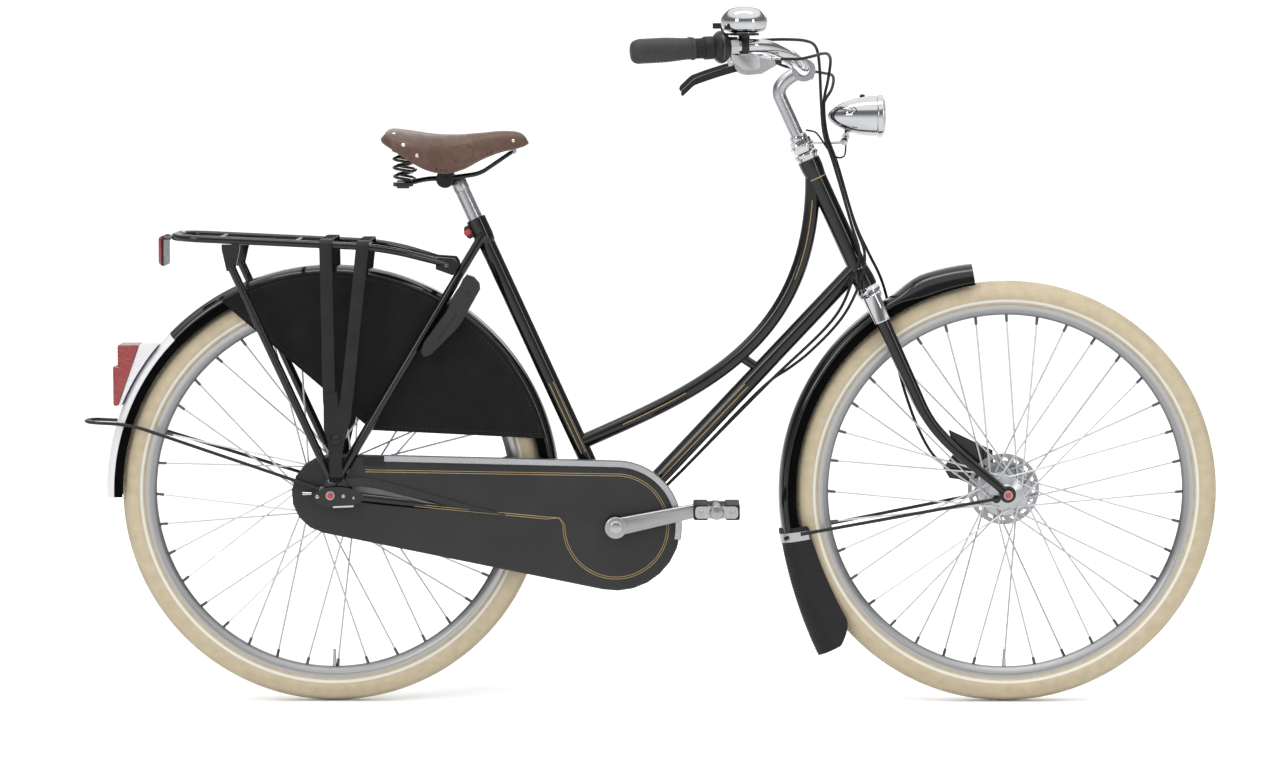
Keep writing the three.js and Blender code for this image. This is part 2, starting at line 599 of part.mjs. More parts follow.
// Corners of a band round two circles; the rear circle is at the rear axle, the front one at the crank
function beltOutline(rearRadius, frontRadius, rearSteps, frontSteps) {
  const distance = Math.hypot(bracketX - rearX, bracketZ - axleZ);
  const lean = THREE.MathUtils.radToDeg(Math.atan2(bracketZ - axleZ, bracketX - rearX));
  const wrap = THREE.MathUtils.radToDeg(Math.acos((rearRadius - frontRadius) / distance));
  const front = arcPoints(bracketX, bracketZ, frontRadius, lean - wrap, lean + wrap, frontSteps);
  const rear = arcPoints(rearX, axleZ, rearRadius, lean + wrap, lean + fullDegrees - wrap, rearSteps);
  return [...front, ...rear];
}

// Frame
function chainStayBody(side, grow = 0) {
  const from = point(bracketX - bracketShell.radius * half, side * chainStay.frontY, bracketZ);
  const to = point(rearX + dropout.reach * half, side * chainStay.rearY, axleZ);
  to.addScaledVector(to.clone().sub(from).normalize(), grow);
  return taper(from, to, chainStay.frontRadius + grow, chainStay.rearRadius + grow, chainStay.sides);
}

function seatStayCurve(side, grow = 0) {
  const top = onSeatTube(seatTube.length - seatStay.topDistance, side * seatStay.topY);
  const bottom = point(rearX + dropout.tabHeight * half, side * seatStay.bottomY,
    axleZ + dropout.rise * half - grow);
  const bow = top.clone().lerp(bottom, seatStay.bowDrop / (top.z - bottom.z));
  bow.y = side * seatStay.bowY;
  return new THREE.CatmullRomCurve3([top, bow, bottom], false, 'centripetal');
}

function seatStayBody(side, grow = 0) {
  return tube(seatStayCurve(side, grow), seatStay.radius + grow, seatStay.sides, seatStay.steps);
}

// The place on the left seat stay where a measure that grows on the way down reaches a value
function onSeatStay(measure, value) {
  const curve = seatStayCurve(1);
  let low = 0;
  let high = 1;
  for (let i = 0; i < seatStay.searchSteps; i += 1) {
    const middle = (low + high) * half;
    if (measure(curve.getPoint(middle)) < value) low = middle;
    else high = middle;
  }
  return curve.getPoint(low);
}

function dropoutBody(side) {
  const { reach, rise, tabHeight, radius, thickness, frontAngle, backAngle } = dropout;
  const low = side * dropoutY - thickness * half;
  const outline = [...arcPoints(rearX, axleZ, radius, backAngle, frontAngle, dropout.sides * half),
    [rearX + reach, axleZ - tabHeight], [rearX + reach, axleZ + tabHeight * half],
    [rearX + tabHeight + radius * half, axleZ + rise], [rearX - tabHeight * half, axleZ + rise]];
  return plate(outline, low, low + thickness);
}

const swanTop = () => onSteering(headTop - swanTube.headDistance);
const swanFoot = () => onSeatTube(swanTube.seatDistance);

function swanCurve() {
  const top = swanTop();
  const foot = swanFoot();
  const lean = radians(swanTube.topLeanAngle);
  const seatLean = radians(swanTube.seatLeanAngle);
  const topPull = top.clone().add(point(Math.sin(lean) * swanTube.topPull, 0,
    -Math.cos(lean) * swanTube.topPull));
  const footPull = foot.clone().add(point(Math.cos(seatLean) * swanTube.seatPull, 0,
    Math.sin(seatLean) * swanTube.seatPull));
  return new THREE.CubicBezierCurve3(top, topPull, footPull, foot);
}

const downTubeTop = () => onSteering(headBottom + downTube.headDistance);

function mainFrame() {
  const headOuter = turned([[0, 0], [headTube.lugRadius, 0], [headTube.lugRadius, headTube.lugLength * half],
    [headTube.radius, headTube.lugLength], [headTube.radius, headTube.length - headTube.lugLength],
    [headTube.lugRadius, headTube.length - headTube.lugLength * half], [headTube.lugRadius, headTube.length],
    [0, headTube.length]], headTube.sides, onSteering(headBottom), headAlong);
  const seatOuter = rod(bracketCentre, onSeatTube(seatTube.length), seatTube.radius, seatTube.sides);
  const seatLug = rod(onSeatTube(seatTube.length - seatTube.lugLength), onSeatTube(seatTube.length),
    seatTube.lugRadius, seatTube.sides);
  const shell = turned(rodProfile(bracketShell.radius, -bracketShell.halfWidth, bracketShell.halfWidth),
    bracketShell.sides, bracketCentre);
  const down = rod(bracketCentre, downTubeTop(), downTube.radius, downTube.sides);
  const swan = tube(swanCurve(), swanTube.radius, swanTube.sides, swanTube.steps);
  const braceTop = swanCurve().getPoint(brace.swanShare);
  const braceFoot = bracketCentre.clone().lerp(downTubeTop(), brace.downShare);
  const braceBody = rod(braceTop, braceFoot, brace.radius, brace.sides);
  const stayBridge = turned(rodProfile(chainStay.rearRadius, -chainStay.frontY, chainStay.frontY),
    chainStay.sides,
    point(bracketX - chainStay.bridgeReach, 0, bracketZ));
  const bridgeReach = fenderRadius + gap + seatStay.bridgeRadius;
  const bridge = onSeatStay((spot) => -Math.hypot(spot.x - rearX, spot.z - axleZ), -bridgeReach);
  const fenderBridge = turned(rodProfile(seatStay.bridgeRadius, -bridge.y, bridge.y), seatStay.sides,
    point(bridge.x, 0, bridge.z));
  const standPlate = box(stand.plateLength + chainStay.bridgeReach * half, 2 * stand.plateHalf,
    stand.plateThickness,
    bracketX - chainStay.bridgeReach, 0, bracketZ - chainStay.frontRadius);
  const pairs = sides.flatMap((side) => [chainStayBody(side), seatStayBody(side), dropoutBody(side)]);
  const body = joined(headOuter, seatOuter, seatLug, shell, down, swan, braceBody, stayBridge, fenderBridge,
    standPlate,
    ...pairs);
  const headBore = rod(onSteering(headBottom - overrun), onSteering(headTop + overrun), headTube.boreRadius,
    headTube.sides);
  const postBore = rod(onSeatTube(seatTube.length - seatTube.boreDepth), onSeatTube(seatTube.length + overrun),
    seatPost.radius + gap, seatPost.sides);
  const shellBore = turned(rodProfile(crank.spindleRadius + gap, -bracketShell.halfWidth - overrun,
    bracketShell.halfWidth + overrun), bracketShell.sides, bracketCentre);
  const axleBore = turned(rodProfile(axle.radius + gap, -dropoutY - overrun, dropoutY + overrun), axle.sides,
    point(rearX, 0, axleZ));
  return cut(body, headBore, postBore, shellBore, axleBore);
}

function headsetCup(low, lipUp) {
  const { cupRadius, cupLength, lipRadius } = headset;
  const bore = headset.boreRadius;
  const profile = lipUp
    ? [[bore, 0], [cupRadius, 0], [cupRadius, cupLength * half], [lipRadius, cupLength], [bore, cupLength],
      [bore, 0]]
    : [[bore, 0], [lipRadius, 0], [cupRadius, cupLength * half], [cupRadius, cupLength], [bore, cupLength],
      [bore, 0]];
  return turned(profile, headset.sides, onSteering(low), headAlong);
}

// Fork
function bladeRings(side, grow = 0) {
  const top = crownHeight + fork.crownThickness * half + grow;
  const curve = new THREE.CubicBezierCurve3(point(fork.bendStart, 0, 0), point(fork.bendTop, 0, 0),
    point(fork.bendLow, fork.bendOut, 0), point(0, ride.forkOffset, 0));
  const spots = [point(top, 0, 0), ...curve.getPoints(fork.steps * half)];
  return spots.map((spot, i) => {
    const before = spots[Math.max(i - 1, 0)];
    const after = spots[Math.min(i + 1, spots.length - 1)];
    const share = 1 - spot.x / top;
    const depth = fork.topDepth + (fork.bottomDepth - fork.topDepth) * share + grow;
    const width = fork.topWidth + (fork.bottomWidth - fork.topWidth) * share + grow;
    const y = side * (crownY + (forkEndY - crownY) * share);
    const along = after.clone().sub(before).normalize();
    return polygon(depth, fork.sides, 0, width).map((corner) => onSteering(
      spot.x - along.y * corner.x, spot.y + along.x * corner.x, y + corner.y));
  });
}

function crownBody(grow = 0) {
  const low = crownHeight;
  const rings = [-1, 1].map((side) => {
    const y = side * (crownY + fork.topWidth * half + grow);
    const depth = fork.crownDepth * half + grow;
    return [[low - grow, -depth], [low + fork.crownThickness + grow, -depth],
      [low + fork.crownThickness + grow, depth],
      [low - grow, depth]].map(([along, forward]) => onSteering(along, forward, y));
  });
  return loft(rings);
}

function forkBody() {
  const base = rod(onSteering(crownHeight + fork.crownThickness * half), onSteering(headTop + steerer.topAbove),
    steerer.radius, steerer.sides);
  const blades = sides.map((side) => loft(bladeRings(side)));
  const ends = sides.map((side) => turned(rodProfile(fork.endRadius, -fork.endThickness * half,
    fork.endThickness * half), axle.sides, point(frontX, side * forkEndY, axleZ)));
  const body = joined(base, crownBody(), ...blades, ...ends);
  const stemBore = rod(onSteering(headTop - stem.depth - overrun),
    onSteering(headTop + steerer.topAbove + overrun),
    steerer.boreRadius, stem.sides);
  const axleBore = turned(rodProfile(axle.radius + gap, -forkEndY - overrun, forkEndY + overrun), axle.sides,
    point(frontX, 0, axleZ));
  return cut(body, stemBore, axleBore);
}

function shroudBody() {
  const top = crownHeight + fork.crownThickness + gap;
  const capRings = [top - crownShroud.overlap, top + crownShroud.topThickness].map((along) => {
    const outline = polygon(crownShroud.depth * half + crownShroud.sleeveWall, crownShroud.sides, 0,
      crownY + fork.topWidth + crownShroud.sleeveWall);
    return outline.map((corner) => onSteering(along, corner.x, corner.y));
  });
  const sleeves = sides.map((side) => {
    const rings = [crownHeight - crownShroud.sleeveLength, top].map((along) => {
      const y = side * crownY;
      return polygon(fork.topDepth + crownShroud.sleeveWall + gap, fork.sides, 0,
        fork.topWidth + crownShroud.sleeveWall + gap).map((corner) => onSteering(along, corner.x,
          y + corner.y));
    });
    return loft(rings);
  });
  const body = joined(loft(capRings), ...sleeves);
  const bores = sides.map((side) => loft(bladeRings(side, gap)));
  const centreBore = rod(onSteering(crownHeight), onSteering(top + overrun), steerer.radius + gap,
    steerer.sides);
  return cut(body, crownBody(gap), centreBore, ...bores);
}

// Stem and the parts on the bar
function stemBody() {
  const quill = rod(onSteering(headTop - stem.depth), onSteering(headTop + stem.height), stem.radius,
    stem.sides);
  const neckStart = onSteering(headTop + stem.height - stem.neckPull * half);
  const neck = new THREE.CubicBezierCurve3(neckStart,
    neckStart.clone().addScaledVector(headAlong, stem.neckPull),
    clampCentre.clone().add(point(-stem.neckBack, 0, -stem.neckBack * half)), clampCentre);
  const neckTube = tube(neck, stem.neckRadius, stem.sides, stem.steps);
  const clampRing = turned(rodProfile(stem.clampRadius, -stem.clampWidth * half, stem.clampWidth * half),
    stem.clampSides, clampCentre);
  return cut(joined(quill, neckTube, clampRing), barBody(barBore));
}

const boreProfile = (profile, bore) => [[bore, profile[0][1]], ...profile,
  [bore, profile[profile.length - 1][1]], [bore, profile[0][1]]];
const barBore = bar.boreRadius;
const gripStart = -grip.endCap;

function gripBody(side) {
  const profile = [[0, gripStart], [grip.endRadius * grip.domeShare, gripStart], [grip.endRadius, grip.endCap],
    [grip.endRadius, grip.length * half], [grip.innerRadius, grip.length - grip.endCap],
    [grip.ringRadius, grip.length - grip.endCap], [grip.ringRadius, grip.length], [0, grip.length]];
  const body = turned(profile, grip.sides, barEnd(side), gripDirection(side).negate());
  return cut(body, turned(rodProfile(barBore, -gap, grip.length + overrun), grip.sides, barEnd(side),
    gripDirection(side).negate()));
}

const twistStart = grip.length + gap;
const shifterStart = twistStart + twist.length + gap;

function twistBody() {
  const profile = [[twist.radius, 0], [twist.radius, twist.length * half],
    [twist.ringRadius, twist.length * half],
    [twist.ringRadius, twist.length]];
  return turned(boreProfile(profile, barBore), twist.sides, onGrip(-1, twistStart), gripDirection(-1).negate());
}

function shifterBody() {
  const profile = [[shifter.waistRadius, 0], [shifter.radius, shifter.length * shifter.flangeShare],
    [shifter.radius, shifter.length * (1 - shifter.flangeShare)], [shifter.waistRadius, shifter.length]];
  return turned(boreProfile(profile, barBore), shifter.sides, onGrip(-1, shifterStart),
    gripDirection(-1).negate());
}

// Directions of a brake bracket: along the grip line, downward, and across
function bracketFrame(side) {
  const forward = gripDirection(side).negate();
  const down = point(0, 0, -1).addScaledVector(forward, forward.z).normalize();
  const across = forward.clone().cross(down).normalize();
  return { forward, down, across, origin: onGrip(side, bracket.from + bracket.clampWidth * half) };
}

function inBracket(side, forward, down, across = 0) {
  const axes = bracketFrame(side);
  return axes.origin.clone().addScaledVector(axes.forward, forward).addScaledVector(axes.down, down)
    .addScaledVector(axes.across, across);
}

function bracketBody(side) {
  const axes = bracketFrame(side);
  const { clampRadius, clampWidth, reach, drop, width, height, nose, topDrop, noseDrop } = bracket;
  const ring = turned(rodProfile(clampRadius, -clampWidth * half, clampWidth * half), bracket.sides,
    axes.origin,
    axes.forward);
  const section = (forward, down, tall, wide) => [[-tall, -wide], [tall, -wide], [tall, wide], [-tall, wide]]
    .map(([rise, across]) => inBracket(side, forward, down + rise * half, across * half));
  const shell = loft([section(-clampWidth * half, topDrop + height * half * half, height * half, width),
    section(nose, noseDrop + height * half, height, width),
    section(reach * half, drop - nose * half, height, width),
    section(reach, drop - nose, height * half, width * half)]);
  const slotDrop = lever.pivotDrop - lever.pivotRadius - lever.pivotGap + height * half;
  const leverSlot = loft([-reach, lever.pivotReach + lever.pivotRadius + lever.pivotGap]
    .map((forward) => section(forward, slotDrop, height, lever.thickness + lever.pivotGap)));
  return cut(joined(ring, shell), leverSlot, barBody(barBore));
}

const leverPivot = (side) => inBracket(side, lever.pivotReach, lever.pivotDrop);

function leverBody(side) {
  const axes = bracketFrame(side);
  const { length, depth, thickness, drop, tipDrop, pivotRadius } = lever;
  const outline = [];
  const low = [];
  for (let i = 0; i <= lever.steps; i += 1) {
    const share = i / lever.steps;
    const back = share * length;
    const bow = (1 - lever.bowShare) * share + lever.bowShare * share * share;
    const centre = drop * bow + tipDrop * Math.max(share - lever.hookShare, 0) / (1 - lever.hookShare);
    const tall = depth * half * (1 - share * half);
    outline.push([back, centre - tall]);
    low.unshift([back, centre + tall]);
  }
  const corners = [...outline, ...low];
  const ring = (across) => corners.map(([back, down]) => inBracket(side, lever.pivotReach - back,
    lever.pivotDrop + down, across));
  const blade = loft([ring(-thickness * half * half), ring(thickness * half * half)]);
  const hub = turned(rodProfile(pivotRadius, -thickness * half, thickness * half), bracket.sides,
    leverPivot(side),
    axes.across);
  return joined(blade, hub);
}

const bellBase = () => onGrip(-1, bell.fromEnd).add(point(0, 0, bar.radius + bell.lift));

function bellBody() {
  const base = bellBase();
  const seat = bell.radius * bellShares[0][0];
  const domeProfile = bellShares.map(([wide, high]) => [bell.radius * wide, bell.height * high]);
  const profile = [[0, gap], [seat, gap], ...domeProfile];
  const dome = turned(profile, bell.sides, base, point(0, 0, 1));
  const post = rod(base.clone().add(point(0, 0, -bell.lift - bar.radius)),
    base.clone().add(point(0, 0, bell.baseHeight)),
    bell.bracketRadius, bell.sides * half);
  const ring = turned(rodProfile(bell.clampRadius, -bell.clampWidth * half, bell.clampWidth * half),
    bell.sides * half,
    onGrip(-1, bell.fromEnd), gripDirection(-1));
  return cut(joined(dome, post, ring), barBody(barBore));
}

function bellLeverBody() {
  const base = bellBase();
  const inner = (bell.radius * bellShares[0][0] + gap) / Math.cos(Math.PI / bell.sides);
  const outer = inner + bell.ringWall;
  const high = bell.baseHeight - gap;
  const ring = turned(ringProfile(inner, outer, 2 * gap, high), bell.sides, base, point(0, 0, 1));
  const turn = radians(bell.leverAngle);
  const place = (reach, rise, across) => base.clone().add(point(
    reach * Math.cos(turn) - across * Math.sin(turn), reach * Math.sin(turn) + across * Math.cos(turn), rise));
  const wide = bell.armWidth * half;
  const armHeight = high - 2 * gap;
  const armSection = (reach, rise, back) => [[reach, rise, -wide], [reach, rise, wide],
    [reach - back, rise + armHeight, wide], [reach - back, rise + armHeight, -wide]]
    .map((spot) => place(...spot));
  const arm = loft([armSection(inner + gap, 2 * gap, 0), armSection(bell.armReach, 2 * gap, 0),
    armSection(bell.armReach + bell.armWidth, bell.armRise, wide)]);
  const padLow = bell.armRise - bell.padHeight * half;
  const padEnds = [bell.armReach + gap, bell.armReach + bell.padLength];
  const pad = loft(padEnds.map((reach) => [[-wide, 0], [wide, 0], [wide, bell.padHeight],
    [-wide, bell.padHeight]]
    .map(([across, rise]) => place(reach, padLow + rise, across))));
  return joined(ring, arm, pad);
}

// Lamp: its bracket is clamped on the steerer, and its foot stands on the bracket's barrel
const bracketHeight = headTop + lampBracket.lift;
const knuckle = onSteering(bracketHeight).add(point(lampBracket.knuckleReach, 0, lampBracket.knuckleRise));
const onLamp = (reach) => knuckle.clone().add(point(reach, 0, lamp.rise));

function lampBody() {
  const length = lamp.tailReach + lamp.rimReach - lamp.rimWidth;
  const profile = [...lampShares.map(([along, wide]) => [lamp.radius * wide, length * along]),
    [lamp.radius, length], [lamp.rimRadius, length], [lamp.rimRadius, length + lamp.rimWidth],
    [0, length + lamp.rimWidth]];
  const shell = turned(profile, lamp.sides, onLamp(-lamp.tailReach), point(1, 0, 0));
  const postEnd = knuckle.clone().add(point(lampBracket.postLean, 0, lamp.rise - lamp.radius * half));
  const post = rod(knuckle, postEnd, lampBracket.postRadius, lampBracket.sides * half);
  const around = turned(rodProfile(lampBracket.knuckleRadius + gap, -lampBracket.knuckleWidth,
    lampBracket.knuckleWidth), lampBracket.sides, knuckle);
  return cut(joined(shell, post), around);
}

function lensBody() {
  const depth = lamp.lensDepth;
  const profile = [[0, 0], [lamp.lensRadius, 0], [lamp.lensRadius, depth * half * half],
    [lamp.lensRadius * lamp.domeShare, depth * lamp.domeShare], [0, depth]];
  return turned(profile, lamp.sides, onLamp(lamp.rimReach + gap), point(1, 0, 0));
}

function lampBracketBody() {
  const { thickness, ringRadius, armWidth, knuckleRadius, knuckleWidth, nutRadius, nutLength } = lampBracket;
  const place = onSteering(bracketHeight);
  const plateRing = turned(rodProfile(ringRadius, 0, thickness), headset.sides, place, headAlong);
  const nuts = turned(rodProfile(nutRadius, -nutLength, thickness + nutLength), lampBracket.nutSides, place,
    headAlong);
  const wide = armWidth * half;
  const inner = [[0, -wide], [0, wide], [thickness, wide], [thickness, -wide]]
    .map(([rise, across]) => onSteering(bracketHeight + rise, ringRadius * half, across));
  const outer = [[-thickness, -wide], [-thickness, wide], [0, wide], [0, -wide]]
    .map(([rise, across]) => knuckle.clone().add(point(0, across, rise)));
  const barrel = turned(rodProfile(knuckleRadius, -knuckleWidth * half, knuckleWidth * half),
    lampBracket.sides, knuckle);
  const body = joined(plateRing, nuts, loft([inner, outer]), barrel);
  const bore = rod(onSteering(bracketHeight - overrun), onSteering(bracketHeight + overrun),
    steerer.radius + gap,
    steerer.sides);
  return cut(body, bore);
}

// Seat post and saddle, in places forward of and above the top of the post
function saddleTop() {
  const length = saddle.back + saddle.front;
  const rings = saddleShares.map(([along, wide, high, low]) => {
    const x = postTop.x - saddle.back + length * along;
    const top = postTop.z + saddle.rise - saddle.depth * high;
    const bottom = postTop.z + saddle.rise - saddle.depth * low;
    const arch = (halfWidth, crown) => Array.from({ length: saddle.sides }, (_, i) => {
      const angle = (Math.PI * i) / (saddle.sides - 1);
      const out = Math.sign(Math.cos(angle)) * Math.abs(Math.cos(angle)) ** saddle.sideShare;
      return point(x, halfWidth * out, bottom + (crown - bottom) * Math.sin(angle) ** saddle.crownShare);
    });
    const outer = arch(saddle.halfWidth * wide, top);
    const inner = arch(saddle.halfWidth * wide - saddle.shell, top - saddle.shell);
    return [...outer, ...inner.reverse()];
  });
  const { plateBack, plateRise, plateLength, plateHalf, plateThickness } = saddleFrame;
  const plateCentre = fromPost(-plateBack, 0, plateRise);
  return joined(loft(rings), box(plateLength, 2 * plateHalf, plateThickness, ...plateCentre.toArray()));
}

function seatPostBody() {
  const { railRadius, railY, clampBack, clampRise, clampRadius, clampHalf, noseY, boltRadius } = saddleFrame;
  const post = rod(onSeatTube(seatTube.length - seatPost.inside), postTop, seatPost.radius, seatPost.sides);
  const foot = (side) => fromPost(-saddleFrame.springBack, side * spring.y, -saddleFrame.footDrop);
  const nose = (side) => fromPost(saddleFrame.noseFront, side * noseY, saddleFrame.noseRise);
  const rails = sides.map((side) => pipe(bent([nose(side),
    fromPost(saddleFrame.dipFront, side * railY, saddleFrame.dipRise),
    fromPost(-clampBack, side * railY, clampRise),
    fromPost(-saddleFrame.spreadBack, side * railY, clampRise), foot(side)], saddleFrame.bendPull,
    saddleFrame.bendSteps),
  railRadius, saddleFrame.sides));
  const feet = sides.map((side) => turned(rodProfile(spring.seatRadius, -railRadius, railRadius),
    saddleFrame.seatSides,
    foot(side), point(0, 0, 1)));
  const clampBar = turned(rodProfile(clampRadius, -clampHalf, clampHalf), saddleFrame.clampSides,
    fromPost(-clampBack, 0, clampRise));
  const noseBar = turned(rodProfile(boltRadius, -noseY - railRadius, noseY + railRadius), saddleFrame.sides,
    nose(0));
  const collar = rod(onSeatTube(seatTube.length + seatPost.visible - seatPost.topLength), postTop,
    saddleFrame.collarRadius, saddleFrame.clampSides);
  return joined(post, clampBar, collar, noseBar, ...rails, ...feet);
}

// One unbroken coil from the rail's foot to the plate under the leather
function springBody(side) {
  const { springBack, footDrop, railRadius, plateRise, plateThickness } = saddleFrame;
  const low = -footDrop + railRadius + gap + spring.wire;
  const high = plateRise - plateThickness * half - gap - spring.wire;
  const count = Math.round(spring.curls * spring.curlSteps);
  const spots = [];
  for (let i = 0; i <= count; i += 1) {
    const share = i / count;
    const angle = fullTurn * spring.curls * share;
    const radius = spring.radius - spring.waist * Math.sin(Math.PI * share);
    spots.push(fromPost(radius * Math.cos(angle) - springBack, side * (spring.y + radius * Math.sin(angle)),
      low + (high - low) * share));
  }
  const body = pipe(spots, spring.wire, spring.sides);
  return { body, spots };
}

function leastSelfGap(spots) {
  let least = Infinity;
  spots.forEach((spot, i) => {
    spots.slice(i + spring.curlSteps * half + 1).forEach((other) => {
      least = Math.min(least, spot.distanceTo(other) - 2 * spring.wire);
    });
  });
  return least;
}

// Crank set, in places relative to the crank centre
function armBody(side, turnAngle) {
  const angle = radians(turnAngle);
  const endX = crank.length * Math.cos(angle);
  const endZ = crank.length * Math.sin(angle);
  const spread = THREE.MathUtils.radToDeg(Math.acos((crank.bossRadius - crank.tipRadius) / crank.length));
  const outline = [...arcPoints(endX, endZ, crank.tipRadius, turnAngle - spread, turnAngle + spread,
    crank.tipSteps),
    ...arcPoints(0, 0, crank.bossRadius, turnAngle + spread, turnAngle + fullDegrees - spread, crank.tipSteps)];
  const low = side * crank.armY - crank.thickness * half;
  return plate(outline, low, low + crank.thickness, crank.bevel);
}

function pedalSpindle(side, turnAngle) {
  const angle = radians(turnAngle);
  const centre = point(crank.length * Math.cos(angle), 0, crank.length * Math.sin(angle));
  const ends = [crank.armY, crank.armY + crank.thickness * half + pedal.spindleLength].map((y) => side * y);
  return turned(rodProfile(pedal.spindleRadius, Math.min(...ends), Math.max(...ends)), pedal.sides, centre);
}

function rightCrankBody() {
  const spindle = turned(rodProfile(crank.spindleRadius, -crank.spindleEnd, crank.spindleEnd),
    bracketShell.sides);
  const ringLow = -chainRing.y - chainRing.thickness * half;
  const holes = Array.from({ length: chainRing.holes }, (_, i) => {
    const angle = (fullTurn * i) / chainRing.holes;
    return turned(rodProfile(chainRing.holeRadius, ringLow - overrun, ringLow + overrun), pedal.sides,
      point(chainRing.holeCircle * Math.cos(angle), 0, chainRing.holeCircle * Math.sin(angle)));
  });
  const ring = cut(plate(toothedOutline(chainRing.teeth), ringLow, ringLow + chainRing.thickness), ...holes);
  const dustCap = turned(rodProfile(crank.dustRadius, -crank.armY - crank.thickness * half - crank.dustLength,
    -crank.armY), crank.sides);
  return joined(spindle, ring, armBody(-1, crank.angle), pedalSpindle(-1, crank.angle), dustCap);
}

function leftCrankBody() {
  const turnAngle = crank.angle + fullDegrees * half;
  const body = joined(armBody(1, turnAngle), pedalSpindle(1, turnAngle));
  return cut(body, turned(rodProfile(crank.spindleRadius + gap, 0, crank.spindleEnd + overrun),
    bracketShell.sides));
}

// Flats of a bore clear the corners of what turns inside it, here and in the sprocket
const pedalBore = (pedal.spindleRadius + gap) / Math.cos(Math.PI / pedal.sides);

function pedalBody(side) {
  const start = crank.armY + crank.thickness * half + pedal.startGap;
  const end = start + pedal.bodyWidth;
  const { halfLength, blockHeight, blockDepth, plateThickness, plateHeight, barrelRadius, bevel } = pedal;
  const between = (low, high) => (side > 0 ? [low, high] : [-high, -low]);
  const blockOutline = (from, to) => [[from, -blockHeight * half], [to, -blockHeight * half],
    [to, blockHeight * half],
    [from, blockHeight * half]];
  const blocks = [[-halfLength, -halfLength + blockDepth], [halfLength - blockDepth, halfLength]]
    .map(([from, to]) => plate(blockOutline(from, to), ...between(start + plateThickness * half,
      end - plateThickness * half), bevel));
  const bars = [start, end - plateThickness].map((low) => plate([[-halfLength + bevel, -plateHeight * half],
    [halfLength - bevel, -plateHeight * half], [halfLength - bevel, plateHeight * half],
    [-halfLength + bevel, plateHeight * half]], ...between(low, low + plateThickness)));
  const barrel = turned(rodProfile(barrelRadius, ...between(start, end + pedal.capLength)), pedal.sides);
  const bore = turned(rodProfile(pedalBore, ...between(start - overrun,
    crank.armY + crank.thickness * half + pedal.spindleLength + gap)), pedal.sides);
  return cut(joined(barrel, ...bars, ...blocks), bore);
}

const sprocketBore = (rearHub.endRadius + gap) / Math.cos(Math.PI / rearHub.sides);

function sprocketBody() {
  const low = -chainRing.y - sprocket.thickness * half;
  const teeth = plate(toothedOutline(sprocket.teeth), low, low + sprocket.thickness);
  const hub = turned(rodProfile(sprocketBore + sprocket.hubWall, -chainRing.y - sprocket.hubWidth * half,
    -chainRing.y + sprocket.hubWidth * half), rearHub.sides);
  return cut(joined(teeth, hub), turned(rodProfile(sprocketBore, -chainRing.y - overrun,
    -chainRing.y + overrun),
    rearHub.sides));
}

// The chain as side plates and a back that bridge the teeth, wrapped round both pitch circles
function chainBody() {
  const out = chain.plateOut;
  const web = chain.plateOut - chain.webThickness;
  const section = [[-chain.plateIn, -chain.halfWidth], [out, -chain.halfWidth], [out, chain.halfWidth],
    [-chain.plateIn, chain.halfWidth], [-chain.plateIn, chain.slot], [web, chain.slot], [web, -chain.slot],
    [-chain.plateIn, -chain.slot]];
  const rearPitch = pitchRadius(sprocket.teeth);
  const frontPitch = pitchRadius(chainRing.teeth);
  const band = (offset) => beltOutline(rearPitch + offset, frontPitch + offset, chain.rearSteps,
    chain.frontSteps);
  const outlines = section.map(([offset]) => band(offset));
  const rings = outlines[0].map((_, i) => section.map(([, across], k) => {
    const [x, z] = outlines[k][i];
    return point(x, -chainRing.y + across, z);
  }));
  return loft([...rings, rings[0]], true);
}

// Chain case
function caseBody() {
  const { frontRadius, rearRadius, innerY, outerY, wall, bevel } = chainCase;
  const outline = (shrink) => beltOutline(rearRadius - shrink, frontRadius - shrink, chainCase.rearSteps,
    chainCase.frontSteps);
  const outer = plate(outline(0), -outerY, -innerY, bevel);
  const inner = plate(outline(wall), -outerY + wall, -innerY - wall);
  const spindleHole = turned(rodProfile(chainCase.spindleHole, -outerY - overrun, -innerY - overrun * half),
    chainCase.holeSides, bracketCentre);
  const shellHole = turned(rodProfile(chainCase.shellHole, -innerY - overrun * half, 0), bracketShell.sides,
    bracketCentre);
  const axlePlace = point(rearX, 0, axleZ);
  const hubHole = turned(rodProfile(chainCase.hubHole, -innerY - overrun * half, 0), rearHub.sides, axlePlace);
  const axleHole = turned(rodProfile(chainCase.axleHole, -outerY - overrun, -innerY - overrun * half),
    rearHub.sides,
    axlePlace);
  return cut(cut(outer, inner), spindleHole, shellHole, hubHole, axleHole, chainStayBody(-1, chainCase.slotGap),
    seatStayBody(-1, chainCase.slotGap));
}

function caseTrimBody() {
  const { lift, depth, width, thickness } = caseTrim;
  const outerY = chainCase.outerY + gap + thickness;
  const section = [[-depth, outerY - thickness], [-depth, outerY], [lift, outerY], [lift, outerY - width],
    [lift - thickness, outerY - width], [lift - thickness, outerY - thickness]];
  const band = (offset) => {
    const line = beltOutline(chainCase.rearRadius + offset, chainCase.frontRadius + offset, chainCase.rearSteps,
      chainCase.frontSteps);
    const front = line.slice(0, chainCase.frontSteps + 1).reverse();
    const rearTop = line[chainCase.frontSteps + 1];
    const start = [front[0][0] + (rearTop[0] - front[0][0]) * caseTrim.reachShare,
      front[0][1] + (rearTop[1] - front[0][1]) * caseTrim.reachShare];
    return [start, ...front.slice(0, caseTrim.steps)];
  };
  const lines = section.map(([offset]) => band(offset));
  const rings = lines[0].map((_, i) => section.map(([, y], k) => point(lines[k][i][0], -y, lines[k][i][1])));
  return loft(rings);
}

